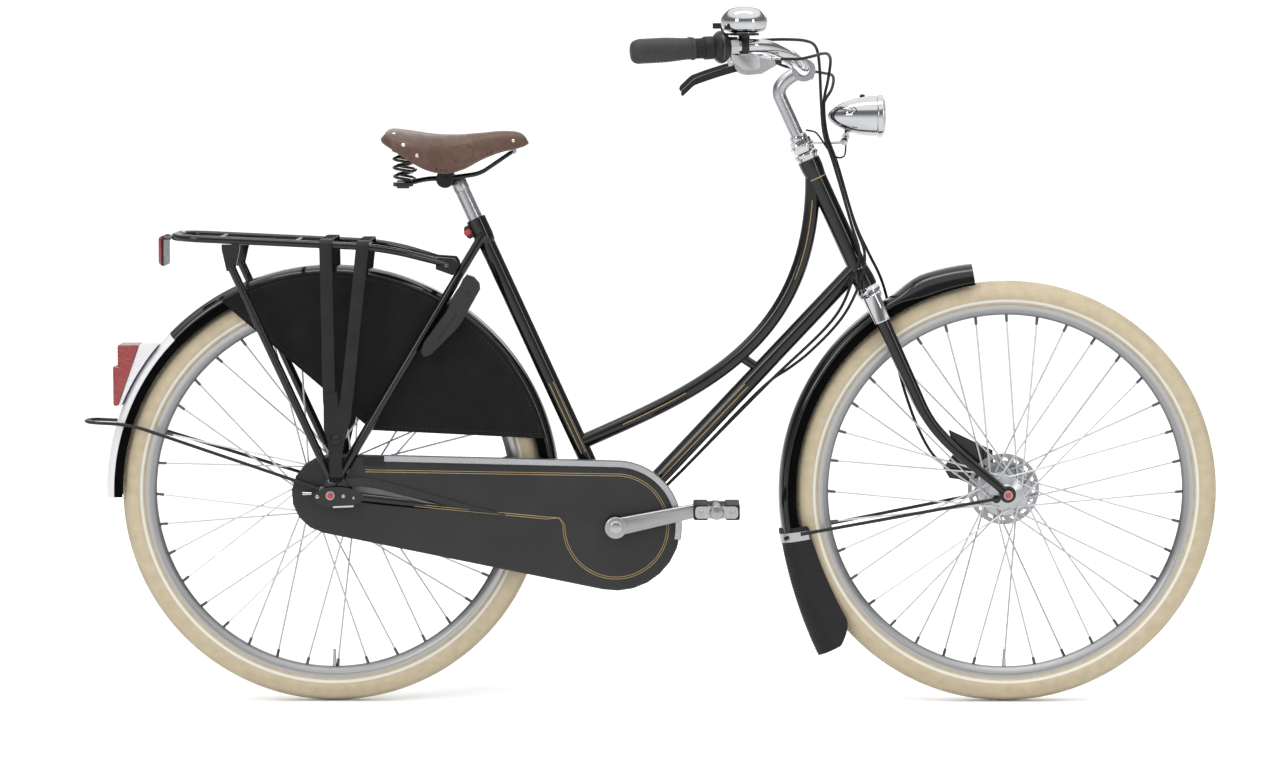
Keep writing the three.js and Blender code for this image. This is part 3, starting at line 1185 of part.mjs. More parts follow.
// Fenders: an arched section carried round the wheel
function fenderSection(radius, halfWidth, drop, sheet) {
  const arch = (shrink) => Array.from({ length: fender.sectionSteps + 1 }, (_, i) => {
    const angle = Math.PI * (i / fender.sectionSteps - half);
    return [radius - shrink - drop * (1 - Math.cos(angle)), (halfWidth - shrink) * Math.sin(angle)];
  });
  return [...arch(0), ...arch(sheet).reverse()];
}

function fenderBody(wheelX, fromAngle, toAngle, sectionAt) {
  const steps = Math.max(1, Math.round((toAngle - fromAngle) / fender.stepAngle));
  const rings = Array.from({ length: steps + 1 }, (_, i) => {
    const share = i / steps;
    const angle = radians(fromAngle + (toAngle - fromAngle) * share);
    return sectionAt(share).map(([radius, y]) => point(wheelX + radius * Math.cos(angle), y,
      axleZ + radius * Math.sin(angle)));
  });
  return loft(rings);
}

const plainSection = () => fenderSection(fenderRadius, fenderHalf, fender.drop, fender.sheet);

// A place behind the rear fender's back, at a height above the axle
const onTail = (rise, reach) => [rearX - Math.sqrt(fenderRadius ** 2 - rise ** 2) - reach, axleZ + rise];

function tailBody() {
  const fromAngle = rearFender.splitAngle + rearFender.jointAngle;
  const sheetBody = fenderBody(rearX, fromAngle, rearFender.tailAngle, plainSection);
  const { topRise, lowRise, topReach, lowReach, inset, steps } = tailLight;
  const spots = Array.from({ length: steps + 1 }, (_, i) => onTail(topRise + ((lowRise - topRise) * i) / steps,
    -fender.sheet * half));
  const halfWidth = fenderHalf - inset;
  const base = plate([...spots, onTail(lowRise, lowReach), onTail(topRise, topReach)], -halfWidth, halfWidth);
  const hollow = fenderBody(rearX, rearFender.splitAngle, rearFender.tailAngle, () => {
    const outer = fenderSection(fenderRadius - fender.sheet * half, fenderHalf - fender.sheet * half,
      fender.drop, fender.sheet).slice(0, fender.sectionSteps + 1);
    const depth = fenderRadius - beadRadius;
    return [...outer, [fenderRadius - depth, fenderHalf], [fenderRadius - depth, -fenderHalf]];
  });
  return joined(sheetBody, cut(base, hollow));
}

function tailLightBody() {
  const { topRise, lowRise, stepRise, topReach, lowReach, depth, lowDepth, stepDepth, lightOut } = tailLight;
  const [topX, topZ] = onTail(topRise, topReach);
  const [lowX, lowZ] = onTail(lowRise, lowReach);
  const stepZ = axleZ + stepRise;
  const outline = [[topX - gap, topZ], [topX - depth, topZ], [topX - depth, stepZ],
    [topX - depth - stepDepth, stepZ],
    [lowX - lowDepth, lowZ], [lowX - gap, lowZ]];
  return plate(outline, -fenderHalf - lightOut, fenderHalf + lightOut);
}

function flapBody() {
  return fenderBody(frontX, mudFlap.startAngle, mudFlap.endAngle, (share) => fenderSection(
    fenderRadius + mudFlap.flare * share, fenderHalf + mudFlap.sideFlare * share,
    fender.drop + mudFlap.sideDrop * share, mudFlap.sheet));
}

function frontStayBody() {
  const band = fenderBody(frontX, frontStay.bandAngle - frontStay.bandHalf,
    frontStay.bandAngle + frontStay.bandHalf,
    () => fenderSection(fenderRadius + gap + frontStay.sheet, fenderHalf + gap + frontStay.sheet,
      fender.drop, frontStay.sheet));
  const angle = radians(frontStay.bandAngle);
  const rods = sides.map((side) => {
    const y = fenderHalf + 2 * gap + frontStay.sheet + frontStay.radius * half;
    const reach = fenderRadius - frontStay.inset;
    const start = point(frontX + reach * Math.cos(angle), side * y, axleZ + reach * Math.sin(angle));
    return rod(start, point(frontX - frontStay.endX, side * frontStay.endY, axleZ - frontStay.endZ),
      frontStay.radius,
      frontStay.sides);
  });
  return joined(band, ...rods);
}

function rearStayBody() {
  const { radius, sideClearance, bendInset, bendRise, tipRise, endBack, endY, endRise } = rearStay;
  const loopHalf = fenderHalf + sideClearance;
  const arm = (side) => [fromRearAxle(endBack, side * endY, endRise),
    fromRearAxle(fenderRadius - bendInset, side * loopHalf, bendRise),
    fromRearAxle(loopReach - radius, side * loopHalf, bendRise + tipRise)];
  const spots = [...arm(-1), ...arm(1).reverse()];
  return pipe(bent(spots, rearStay.bendPull, rearStay.bendSteps), radius, rearStay.sides);
}

function guardBody(side) {
  const { inset, frontAngle, backAngle, sheet, cornerX, cornerZ, steps } = coatGuard;
  const outline = [...arcPoints(rearX, axleZ, fenderRadius - inset, frontAngle, backAngle, steps),
    [rearX + cornerX, axleZ + cornerZ]];
  const inner = fenderHalf + gap;
  const sheetBody = side > 0 ? plate(outline, inner, inner + sheet) : plate(outline, -inner - sheet, -inner);
  const passAngle = THREE.MathUtils.radToDeg(Math.asin(inner / lock.ringRadius));
  const pass = onLock(passAngle, lock.ringRadius);
  const hole = turned(rodProfile(coatGuard.boltHole, -inner - overrun, inner + overrun), coatGuard.holeSides,
    point(pass.x, 0, pass.z));
  return cut(sheetBody, hole);
}

// Rack, struts, straps and reflector, in places behind the rear axle and above the fender's top
const onRack = (back, y, rise) => fromRearAxle(back, y, fenderRadius + rise);

function rackHeightAt(back) {
  const share = (back - rack.midBack) / (rack.back - rack.tubeRadius - rack.midBack);
  return rack.midRise + (rack.rise - rack.midRise) * share;
}

// The rack's front tabs stand just behind the seat stays
function rackFront() {
  const low = axleZ + fenderRadius + rack.frontRise - rack.tabDrop;
  const stay = onSeatStay((spot) => -spot.z, -low);
  const along = seatStayCurve(1).getTangent(half);
  const reach = (seatStay.radius + gap) / Math.abs(along.z) + rack.tabWidth * half;
  return point(stay.x - reach, stay.y, low + rack.tabDrop);
}

function rackBody() {
  const { midBack, midRise, halfWidth, back, rise, tubeRadius } = rack;
  const front = rackFront();
  const lineBack = back - tubeRadius;
  const arm = (side) => [point(front.x, side * front.y, front.z), onRack(midBack, side * halfWidth, midRise),
    onRack(lineBack, side * halfWidth, rise)];
  const loop = pipe(bent([...arm(-1), ...arm(1).reverse()], rack.corner, rack.cornerSteps), tubeRadius,
    rack.sides);
  const bars = rack.crossShares.map((share) => {
    const barBack = midBack + (lineBack - midBack) * share;
    const height = rackHeightAt(barBack);
    return rod(onRack(barBack, -halfWidth, height), onRack(barBack, halfWidth, height), rack.crossRadius,
      rack.sides);
  });
  const frontBar = rod(point(front.x, -front.y - tubeRadius, front.z),
    point(front.x, front.y + tubeRadius, front.z),
    tubeRadius, rack.sides);
  const tabs = sides.map((side) => box(rack.tabWidth, rack.tabThickness, rack.tabDrop, front.x, side * front.y,
    front.z - rack.tabDrop * half));
  return joined(loop, frontBar, ...bars, ...tabs);
}

function strutBody(side) {
  const { topBack, topDrop, footBack, footRise, topInset, footY, plateWidth, plateDrop,
    plateThickness } = strut;
  const deck = rackHeightAt(topBack) - rack.tubeRadius - strut.deckGap;
  const topY = rack.halfWidth - topInset;
  const foot = fromRearAxle(footBack, side * footY, footRise);
  const tubeBody = rod(onRack(topBack, side * topY, deck - topDrop), foot, strut.radius, strut.sides);
  const gusset = loft([[plateWidth, deck], [strut.radius, deck - plateDrop]].map(([wide, rise]) => [
    [-wide * half, -plateThickness * half], [wide * half, -plateThickness * half],
    [wide * half, plateThickness * half], [-wide * half, plateThickness * half]]
    .map(([x, y]) => onRack(topBack - x, side * topY + y, rise))));
  const ends = [strut.bossY, footY + strut.radius].map((y) => side * y);
  const boss = turned(rodProfile(strut.bossRadius, Math.min(...ends), Math.max(...ends)), strut.sides,
    point(foot.x, 0, foot.z));
  return joined(tubeBody, gusset, boss);
}

function strapBody() {
  const { width, thickness, rivetBack, rivetRise, footRise, sideOut, rivetOut, footOut, rivetLength } = strap;
  const spotAt = (back, out, rise, side) => fromRearAxle(back, side * (rack.halfWidth + out), rise);
  const bands = [strap.rearBandBack, strap.frontBandBack].map((topBack) => {
    const deck = fenderRadius + rackHeightAt(topBack) + rack.tubeRadius + gap + thickness * half;
    const arm = (side) => [spotAt(rivetBack, footOut, footRise, side),
      spotAt(rivetBack, rivetOut, rivetRise, side),
      spotAt(topBack, sideOut, deck - strap.cornerDrop, side),
      spotAt(topBack, sideOut - strap.cornerDrop, deck, side)];
    const spots = [...arm(-1), ...arm(1).reverse()];
    const rings = spots.map((spot, i) => {
      const before = spots[Math.max(i - 1, 0)];
      const after = spots[Math.min(i + 1, spots.length - 1)];
      const along = after.clone().sub(before).normalize();
      const wide = point(1, 0, 0).addScaledVector(along, -along.x).normalize();
      const normal = along.clone().cross(wide);
      return [[-1, -1], [1, -1], [1, 1], [-1, 1]].map(([a, b]) => spot.clone()
        .addScaledVector(wide, a * width * half).addScaledVector(normal, b * thickness * half));
    });
    return loft(rings);
  });
  const rivets = sides.map((side) => {
    const ends = [rack.halfWidth + rivetOut, rack.halfWidth + rivetOut + rivetLength].map((y) => side * y);
    return turned(rodProfile(strap.rivetRadius, Math.min(...ends), Math.max(...ends)), strap.rivetSides,
      fromRearAxle(rivetBack, 0, rivetRise));
  });
  return joined(...bands, ...rivets);
}

function reflectorBody() {
  const { width, height, thickness, reach, drop, bevel, armRadius, armY, armSides } = reflector;
  const back = rack.back + reach;
  const face = loft([0, bevel, thickness].map((forward) => {
    const shrink = forward === 0 ? bevel : 0;
    return [[-1, -1], [1, -1], [1, 1], [-1, 1]].map(([a, b]) => onRack(back - forward,
      a * (width * half - shrink),
      rack.rise - drop + b * (height * half - shrink)));
  }));
  const armRise = rack.rise - rack.tubeRadius * half;
  const arms = sides.map((side) => rod(onRack(back - thickness * half, side * armY, armRise),
    onRack(rack.back + gap, side * armY, armRise), armRadius, armSides));
  return joined(face, ...arms);
}

// Ring lock round the tyre: places are turned about the lock's own centre
const lockOut = point(Math.cos(radians(lock.angle)), 0, Math.sin(radians(lock.angle)));
const lockNormal = point(-lockOut.z, 0, lockOut.x);
const lockCentre = () => point(rearX, 0, axleZ).addScaledVector(lockOut, tyreRadius - lock.sink)
  .addScaledVector(lockNormal, lock.offset);

function onLock(angle, radius, normal = 0) {
  return lockCentre().addScaledVector(lockOut, -radius * Math.cos(radians(angle)))
    .add(point(0, radius * Math.sin(radians(angle)), 0)).addScaledVector(lockNormal, normal);
}

function lockArc(fromAngle, toAngle, radius, count, steps) {
  const spots = Array.from({ length: steps + 1 },
    (_, i) => onLock(fromAngle + ((toAngle - fromAngle) * i) / steps,
    lock.ringRadius));
  return pipe(spots, radius, count);
}

function lockSector(fromAngle, toAngle, innerRadius, outerRadius, halfDepth, steps) {
  const spotsAt = (normal) => {
    const angles = Array.from({ length: steps + 1 }, (_, i) => fromAngle + ((toAngle - fromAngle) * i) / steps);
    return [...angles.map((angle) => onLock(angle, outerRadius, normal)),
      ...angles.reverse().map((angle) => onLock(angle, innerRadius, normal))];
  };
  return loft([spotsAt(-halfDepth), spotsAt(halfDepth)]);
}

const knobTurn = () => lock.openAngle + lock.travelAngle + lock.overlapAngle - lock.knobAngle;

function lockBody() {
  const { openAngle, ringRadius, bodyRadius, boreRadius, housingInner, housingOuter, housingAngle } = lock;
  const ring = lockArc(openAngle, fullDegrees - openAngle, bodyRadius, lock.sides, lock.steps);
  const housing = lockSector(fullDegrees * half - housingAngle, fullDegrees * half + housingAngle,
    ringRadius - housingInner, ringRadius + housingOuter, lock.housingDepth * half, lock.housingSteps);
  const bore = lockArc(openAngle - lock.overlapAngle, knobTurn() + lock.knobAngle + lock.overlapAngle,
    boreRadius,
    lock.boreSides, lock.steps);
  const slot = lockSector(openAngle - lock.overlapAngle, knobTurn() + lock.overlapAngle, ringRadius,
    ringRadius + bodyRadius + overrun, lock.slotHalf, lock.steps * half);
  const socket = lockArc(-openAngle - lock.overlapAngle, lock.overlapAngle - openAngle, boreRadius,
    lock.boreSides,
    lock.steps * half);
  return cut(joined(ring, housing), bore, slot, socket);
}

function boltBody() {
  const tail = knobTurn() + lock.knobAngle * half;
  const arc = lockArc(lock.openAngle + lock.knobAngle * half, tail, lock.boltRadius, lock.boreSides,
    lock.steps);
  const knob = rod(onLock(knobTurn(), lock.ringRadius), onLock(knobTurn(), lock.ringRadius + lock.knobLength),
    lock.knobRadius, lock.boreSides);
  const head = rod(onLock(knobTurn(), lock.ringRadius + lock.knobLength), onLock(knobTurn(), lock.ringRadius
    + lock.knobLength + lock.headLength), lock.headRadius, lock.sides);
  return joined(arc, knob, head);
}

// Kickstand, brakes and axles
function standBody() {
  const pivot = point(bracketX - stand.pivotBack, stand.pivotY, bracketZ - stand.pivotDrop);
  const tip = pivot.clone().add(point(-stand.length, stand.length * stand.spreadShare,
    -stand.length * stand.fallShare));
  const footStart = pivot.clone().lerp(tip, 1 - stand.footLength / stand.length);
  const hub = turned(rodProfile(stand.hubRadius, -stand.hubLength * half, stand.hubLength * half),
    stand.hubSides, pivot);
  return joined(hub, rod(pivot, tip, stand.radius, stand.sides),
    taper(footStart, tip, stand.radius, stand.footRadius,
    stand.sides));
}

function axleBody(outerY, brake) {
  const drum = turned(rodProfile(brake.radius, brake.y, brake.y + brake.width), brake.sides);
  const armBodies = brake.arms.map(([armAngle, length, low, thickness]) => {
    const angle = radians(armAngle);
    const across = [-Math.sin(angle), Math.cos(angle)];
    const corner = (reach, wide) => [reach * Math.cos(angle) + wide * across[0],
      reach * Math.sin(angle) + wide * across[1]];
    const wide = brake.armWidth * half;
    return plate([corner(0, -wide), corner(length, -wide * half), corner(length, wide * half), corner(0, wide)],
      low, low + thickness);
  });
  const face = outerY + gap;
  const nutEnd = face + axle.nutLength;
  const tip = nutEnd + axle.endLength;
  const halfProfile = [[axle.radius, face], [axle.nutRadius, face], [axle.nutRadius, nutEnd],
    [axle.capRadius, nutEnd],
    [axle.capRadius, tip], [0, tip]];
  const mirror = halfProfile.map(([radius, y]) => [radius, -y]).reverse();
  return joined(turned([...mirror, ...halfProfile], axle.sides), drum, ...armBodies);
}

const group = new THREE.Group();
group.name = 'dutch_city_bike';

function add(name, geometry, material, parent = group) {
  const mesh = new THREE.Mesh(geometry, material);
  mesh.name = name;
  parent.add(mesh);
  return mesh;
}

function placeAt(x, y, z) {
  const holder = new THREE.Group();
  holder.position.set(x, y, z);
  group.add(holder);
  return holder;
}

// Frame, head and saddle
add('main_frame', mainFrame(), black);
add('upper_headset_cup', headsetCup(headTop + gap, false), chrome);
add('lower_headset_cup', headsetCup(headBottom - gap - headset.cupLength, true), chrome);
add('seat_post', seatPostBody(), chrome);
add('saddle_leather', saddleTop(), leather);
sides.forEach((side) => {
  const { body, spots } = springBody(side);
  add(`saddle_spring_${sideName(side)}`, body, black);
  console.log(`saddle spring, least gap to itself ${leastSelfGap(spots).toFixed(1)} mm`);
});

// Steering
add('fork', forkBody(), black);
add('crown_shroud', shroudBody(), chrome);
add('lamp_bracket', lampBracketBody(), chrome);
add('headlamp', lampBody(), chrome);
add('headlamp_lens', lensBody(), glass);
add('stem', stemBody(), chrome);
add('handlebar', barBody(bar.radius), chrome);
add('twist_shifter', twistBody(), rubber);
add('shifter_housing', shifterBody(), rubber);
add('bell', bellBody(), chrome);
add('bell_lever', bellLeverBody(), rubber);
sides.forEach((side) => {
  add(`grip_${sideName(side)}`, gripBody(side), rubber);
  add(`brake_bracket_${sideName(side)}`, bracketBody(side), alloy);
  add(`brake_lever_${sideName(side)}`, leverBody(side), rubber);
});
add('front_fender', fenderBody(frontX, frontFender.frontAngle, frontFender.rearAngle, plainSection), black);
add('front_fender_stays', frontStayBody(), steel);
add('mud_flap', flapBody(), rubber);
add('front_brake_cable', tube(smooth(frontRoute), cable.radius, cable.sides, cable.frontSteps), rubber);

// Wheels
const frontWheel = placeAt(frontX, 0, axleZ);
add('front_axle', axleBody(forkEndY + fork.bottomWidth, frontBrake), steel, frontWheel);
add('front_tyre', tyreBody(), cream, frontWheel);
add('front_rim', rimBody(), alloy, frontWheel);
add('front_hub', spokedHub(frontHub, [slottedDisc()]), steel, frontWheel);
const rearWheel = placeAt(rearX, 0, axleZ);
add('rear_tyre', tyreBody(), cream, rearWheel);
add('rear_rim', rimBody(), alloy, rearWheel);
add('rear_hub', spokedHub(rearHub, []), steel, rearWheel);
add('rear_sprocket', sprocketBody(), steel, rearWheel);
add('rear_axle', axleBody(dropoutY + dropout.thickness * half, rearBrake), steel, rearWheel);

// Drive
const crankCentre = placeAt(bracketX, 0, bracketZ);
add('right_crank', rightCrankBody(), alloy, crankCentre);
add('left_crank', leftCrankBody(), alloy, crankCentre);
sides.forEach((side) => {
  const angle = radians(crank.angle + (side > 0 ? fullDegrees * half : 0));
  const holder = placeAt(bracketX + crank.length * Math.cos(angle), 0,
    bracketZ + crank.length * Math.sin(angle));
  add(`${sideName(side)}_pedal`, pedalBody(side), rubber, holder);
});
add('chain', chainBody(), steel);
add('chain_case', caseBody(), caseGrey);
add('chain_case_trim', caseTrimBody(), chrome);

// Fenders, guards and carriers
add('rear_fender', fenderBody(rearX, rearFender.frontAngle, rearFender.splitAngle, plainSection), black);
add('rear_fender_tail', tailBody(), white);
add('tail_light', tailLightBody(), red);
add('rear_fender_stays', rearStayBody(), black);
add('luggage_rack', rackBody(), black);
add('luggage_straps', strapBody(), rubber);
add('rear_reflector', reflectorBody(), red);
sides.forEach((side) => {
  add(`coat_guard_${sideName(side)}`, guardBody(side), fabric);
  add(`rack_strut_${sideName(side)}`, strutBody(side), black);
});
add('ring_lock', lockBody(), black);
add('ring_lock_bolt', boltBody(), chrome);
add('kickstand', standBody(), black);
add('gear_cable', tube(smooth(gearRoute), cable.radius, cable.sides, cable.longSteps), rubber);
add('rear_brake_cable', tube(smooth(brakeRoute), cable.radius, cable.sides, cable.longSteps), rubber);

export default group;
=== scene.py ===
import json
import math

import bmesh
import bpy
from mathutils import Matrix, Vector


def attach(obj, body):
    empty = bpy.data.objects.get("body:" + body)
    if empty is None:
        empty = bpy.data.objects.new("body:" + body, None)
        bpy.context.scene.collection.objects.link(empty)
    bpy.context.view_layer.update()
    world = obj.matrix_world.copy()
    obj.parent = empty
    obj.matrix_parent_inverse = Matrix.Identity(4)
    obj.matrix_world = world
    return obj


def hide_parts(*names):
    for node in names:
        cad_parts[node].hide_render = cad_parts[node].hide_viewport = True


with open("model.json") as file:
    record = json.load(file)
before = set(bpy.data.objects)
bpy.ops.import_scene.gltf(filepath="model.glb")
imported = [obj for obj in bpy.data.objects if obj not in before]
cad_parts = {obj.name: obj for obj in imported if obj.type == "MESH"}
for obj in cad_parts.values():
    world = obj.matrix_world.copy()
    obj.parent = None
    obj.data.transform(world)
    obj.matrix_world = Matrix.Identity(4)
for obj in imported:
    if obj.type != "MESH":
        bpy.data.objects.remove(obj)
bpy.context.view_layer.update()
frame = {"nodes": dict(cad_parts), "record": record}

MM = 0.001
FULL = 2 * math.pi


def xyz(x, y, z):
    return Vector((x, y, z))


# Main places in millimetres, the same as in the part
GAP = 0.35
REAR = xyz(-530.75, 0, 353)
FRONT = xyz(593.75, 0, 353)
BRACKET = xyz(-57.35, 0, 299.7)
HEAD_ANGLE = math.radians(65.3)
ALONG = xyz(-math.cos(HEAD_ANGLE), 0, math.sin(HEAD_ANGLE))
AHEAD = xyz(ALONG.z, 0, -ALONG.x)
STEERING_FOOT = FRONT - AHEAD * 69
HEAD_LOW, HEAD_HIGH = 409.0, 642.0
CROWN_HEIGHT, CROWN_SIDE = 378.0, 40.5
CROWN_MIDDLE = CROWN_HEIGHT + 8
POST_LENGTH = 634
CRANK_LENGTH = 170
FENDER, FENDER_HALF, FENDER_DROP, FENDER_SHEET = 380.0, 28.5, 14.0, 1.7
CASE_SIDE = -58
SIDES = ((-1, "right"), (1, "left"))
X_AXIS, Y_AXIS, Z_AXIS = xyz(1, 0, 0), xyz(0, 1, 0), xyz(0, 0, 1)


def head(along, forward=0.0, side=0.0):
    """A place on the steering axis, forward of it and to one side."""
    return STEERING_FOOT + ALONG * along + AHEAD * forward + Y_AXIS * side


def seat(along, side=0.0):
    """A place on the seat tube's axis, at a distance from the bracket."""
    return BRACKET + ALONG * along + Y_AXIS * side


def polar(centre, angle, radius, side=0.0):
    """A place round an axle, with its angle in degrees from straight ahead."""
    turn = math.radians(angle)
    return xyz(centre.x + radius * math.cos(turn), side, centre.z + radius * math.sin(turn))


POST_TOP = seat(POST_LENGTH)
CLAMP = head(HEAD_HIGH) + xyz(-8.8, 0, 149.1)
BAR_END = xyz(-279, 305, 31)
YAW, PITCH = math.radians(13), math.radians(3)

# Distances from the end of a grip, along the bar
SHIFTER_AT, HOUSING_AT, LEVER_AT, BELL_AT, BEND_AT = 98.35, 128.7, 162.5, 180, 190


def grip_way(side):
    """The direction of a grip line towards its end."""
    return xyz(-math.cos(YAW) * math.cos(PITCH), side * math.sin(YAW) * math.cos(PITCH), -math.sin(PITCH))


def on_grip(side, from_end):
    """A place on a grip's axis, at a distance from the grip's end."""
    end = CLAMP + xyz(BAR_END.x, side * BAR_END.y, BAR_END.z)
    return end - grip_way(side) * from_end


# Camera, light and floor, in metres
CAMERA, TARGET = (0.0164, -7.15, 1.12), (-0.0175, 0, 0.541)
SENSOR_WIDTH, LENS, FAR_CLIP = 36, 120.7, 400
FLOOR_REACH, FLOOR_HEIGHT = 150, -0.0005


def aim(thing, target):
    """Turns a camera or a lamp towards a place."""
    thing.rotation_euler = (Vector(target) - thing.location).to_track_quat("-Z", "Y").to_euler()


camera = bpy.data.objects.new("camera", bpy.data.cameras.new("camera"))
bpy.context.scene.collection.objects.link(camera)
camera.location = CAMERA
aim(camera, TARGET)
camera.data.sensor_width = SENSOR_WIDTH
camera.data.lens = LENS
camera.data.clip_end = FAR_CLIP
bpy.context.scene.camera = camera


LIT_PLACE = (0, 0, 0.5)


def lamp(name, place, size, power):
    """A soft box, with its power in watts."""
    light = bpy.data.objects.new(name, bpy.data.lights.new(name, "AREA"))
    light.data.shape = "RECTANGLE"
    light.data.size, light.data.size_y = size
    light.data.energy = power
    light.location = place
    aim(light, LIT_PLACE)
    bpy.context.scene.collection.objects.link(light)


lamp("overhead", (0, -0.8, 4.2), (4.0, 0.8), 70)
lamp("front_left", (-3.6, -5.0, 3.0), (1.6, 2.4), 95)
lamp("front_right", (4.4, -4.4, 2.2), (0.8, 2.6), 45)
lamp("behind", (0.5, 4.5, 2.6), (5.0, 1.2), 45)


def node(tree, kind, **values):
    made = tree.nodes.new("ShaderNode" + kind)
    for key, value in values.items():
        setattr(made, key, value)
    return made


# Height of the sky's bands, as the sine of their elevation, and how bright each is
SKY = ((0.0, 0.64), (0.018, 0.64), (0.035, 0.40), (0.12, 0.34), (0.24, 0.16), (0.5, 0.22), (0.62, 1.0),
       (0.85, 1.0), (1.0, 1.0))
SKY_STRENGTH = 1.75


def set_ramp(made, stops):
    """Gives a colour ramp its stops, each a grey level or a colour."""
    line = made.color_ramp
    while len(line.elements) < len(stops):
        line.elements.new(0.5)
    for element, (position, colour) in zip(line.elements, stops):
        element.position = position
        element.color = (*colour, 1) if isinstance(colour, tuple) else (colour, colour, colour, 1)


def make_world():
    world = bpy.data.worlds.new("studio")
    world.use_nodes = True
    tree = world.node_tree
    tree.nodes.clear()
    place = node(tree, "TexCoord")
    parts = node(tree, "SeparateXYZ")
    ramp = node(tree, "ValToRGB")
    light = node(tree, "Background")
    out = node(tree, "OutputWorld")
    tree.links.new(place.outputs["Generated"], parts.inputs[0])
    tree.links.new(parts.outputs["Z"], ramp.inputs[0])
    set_ramp(ramp, SKY)
    tree.links.new(ramp.outputs[0], light.inputs["Color"])
    light.inputs["Strength"].default_value = SKY_STRENGTH
    tree.links.new(light.outputs[0], out.inputs["Surface"])
    bpy.context.scene.world = world


make_world()
bpy.context.scene.view_settings.view_transform = "Standard"


# Materials
class Finish:
    """A material with its shader, and short calls that wire pattern nodes to it."""

    def __init__(self, name, roughness=0.5, metallic=0.0, **sockets):
        self.material = bpy.data.materials.new(name)
        self.material.use_nodes = True
        self.tree = self.material.node_tree
        self.tree.nodes.clear()
        self.shader = node(self.tree, "BsdfPrincipled")
        out = node(self.tree, "OutputMaterial")
        self.link(self.shader.outputs[0], out.inputs["Surface"])
        self.shader.inputs["Roughness"].default_value = roughness
        self.shader.inputs["Metallic"].default_value = metallic
        for key, value in sockets.items():
            self.shader.inputs[key.replace("_", " ")].default_value = value
        self.place = node(self.tree, "TexCoord").outputs["Object"]

    def link(self, start, end):
        self.tree.links.new(start, end)

    def noise(self, scale, detail=3.0, stretch=(1, 1, 1)):
        mapping = node(self.tree, "Mapping")
        mapping.inputs["Scale"].default_value = stretch
        self.link(self.place, mapping.inputs[0])
        made = node(self.tree, "TexNoise")
        made.inputs["Scale"].default_value = scale
        made.inputs["Detail"].default_value = detail
        self.link(mapping.outputs[0], made.inputs["Vector"])
        return made.outputs["Fac"]

    def cells(self, scale, feature="F1"):
        made = node(self.tree, "TexVoronoi", feature=feature)
        made.inputs["Scale"].default_value = scale
        self.link(self.place, made.inputs["Vector"])
        return made.outputs["Distance"]

    def ramp(self, value, *stops):
        made = node(self.tree, "ValToRGB")
        set_ramp(made, stops)
        self.link(value, made.inputs[0])
        return made.outputs[0]

    def mix(self, factor, first, second, blend="MIX"):
        made = node(self.tree, "Mix", data_type="RGBA", blend_type=blend)
        for value, socket in ((factor, made.inputs[0]), (first, made.inputs[6]), (second, made.inputs[7])):
            if isinstance(value, bpy.types.NodeSocket):
                self.link(value, socket)
            elif isinstance(value, tuple):
                socket.default_value = (*value, 1)
            else:
                socket.default_value = value
        return made.outputs[2]

    def maths(self, operation, first, second=0.0, third=0.0):
        made = node(self.tree, "Math", operation=operation)
        for value, socket in zip((first, second, third), made.inputs):
            if isinstance(value, bpy.types.NodeSocket):
                self.link(value, socket)
            else:
                socket.default_value = value
        return made.outputs[0]

    def from_centre(self, centre):
        """How far a point is ahead of a centre and above it, in metres."""
        parts = node(self.tree, "SeparateXYZ")
        self.link(self.place, parts.inputs[0])
        ahead = self.maths("SUBTRACT", parts.outputs["X"], centre.x * MM)
        above = self.maths("SUBTRACT", parts.outputs["Z"], centre.z * MM)
        return ahead, above

    def from_axle(self, centre):
        ahead, above = self.from_centre(centre)
        squares = self.maths("ADD", self.maths("MULTIPLY", ahead, ahead), self.maths("MULTIPLY", above, above))
        return self.maths("SQRT", squares)

    def angle_round(self, centre):
        ahead, above = self.from_centre(centre)
        return self.maths("ARCTAN2", above, ahead)

    def bump(self, height, strength, distance):
        made = node(self.tree, "Bump")
        made.inputs["Strength"].default_value = strength
        made.inputs["Distance"].default_value = distance
        self.link(height, made.inputs["Height"])
        if self.shader.inputs["Normal"].links:
            self.link(self.shader.inputs["Normal"].links[0].from_socket, made.inputs["Normal"])
        self.link(made.outputs[0], self.shader.inputs["Normal"])

    def colour(self, value):
        self.link(value, self.shader.inputs["Base Color"])

    def rough(self, value):
        self.link(value, self.shader.inputs["Roughness"])


def enamel(name, dark, light, roughness=0.16, coat=0.5, level=0.4):
    made = Finish(name, roughness, Coat_Weight=coat, Coat_Roughness=0.05, Specular_IOR_Level=level)
    made.colour(made.ramp(made.noise(14, 4), (0.3, dark), (0.75, light)))
    made.rough(made.ramp(made.noise(90, 3), (0.3, roughness * 0.8), (0.8, roughness * 1.5)))
    made.bump(made.noise(420, 2), 0.02, 0.0004)
    return made.material


def polished(name, colour, low, high, scale=60, stretch=(1, 1, 1), bump=0.02):
    made = Finish(name, low, 1.0)
    dull = tuple(c * 0.86 for c in colour)
    made.colour(made.ramp(made.noise(scale * 0.4, 4, stretch), (0.25, dull), (0.7, colour)))
    made.rough(made.ramp(made.noise(scale, 5, stretch), (0.3, low), (0.8, high)))
    made.bump(made.noise(scale * 6, 3, stretch), bump, 0.0003)
    return made.material


def moulded(name, dark, light, roughness=0.55, grain=900, bump=0.12, level=0.35):
    made = Finish(name, roughness, Specular_IOR_Level=level)
    made.colour(made.ramp(made.noise(35, 4), (0.3, dark), (0.75, light)))
    made.rough(made.ramp(made.noise(70, 3), (0.3, roughness * 0.85), (0.8, min(1, roughness * 1.2))))
    made.bump(made.noise(grain, 4), bump, 0.0004)
    return made.material


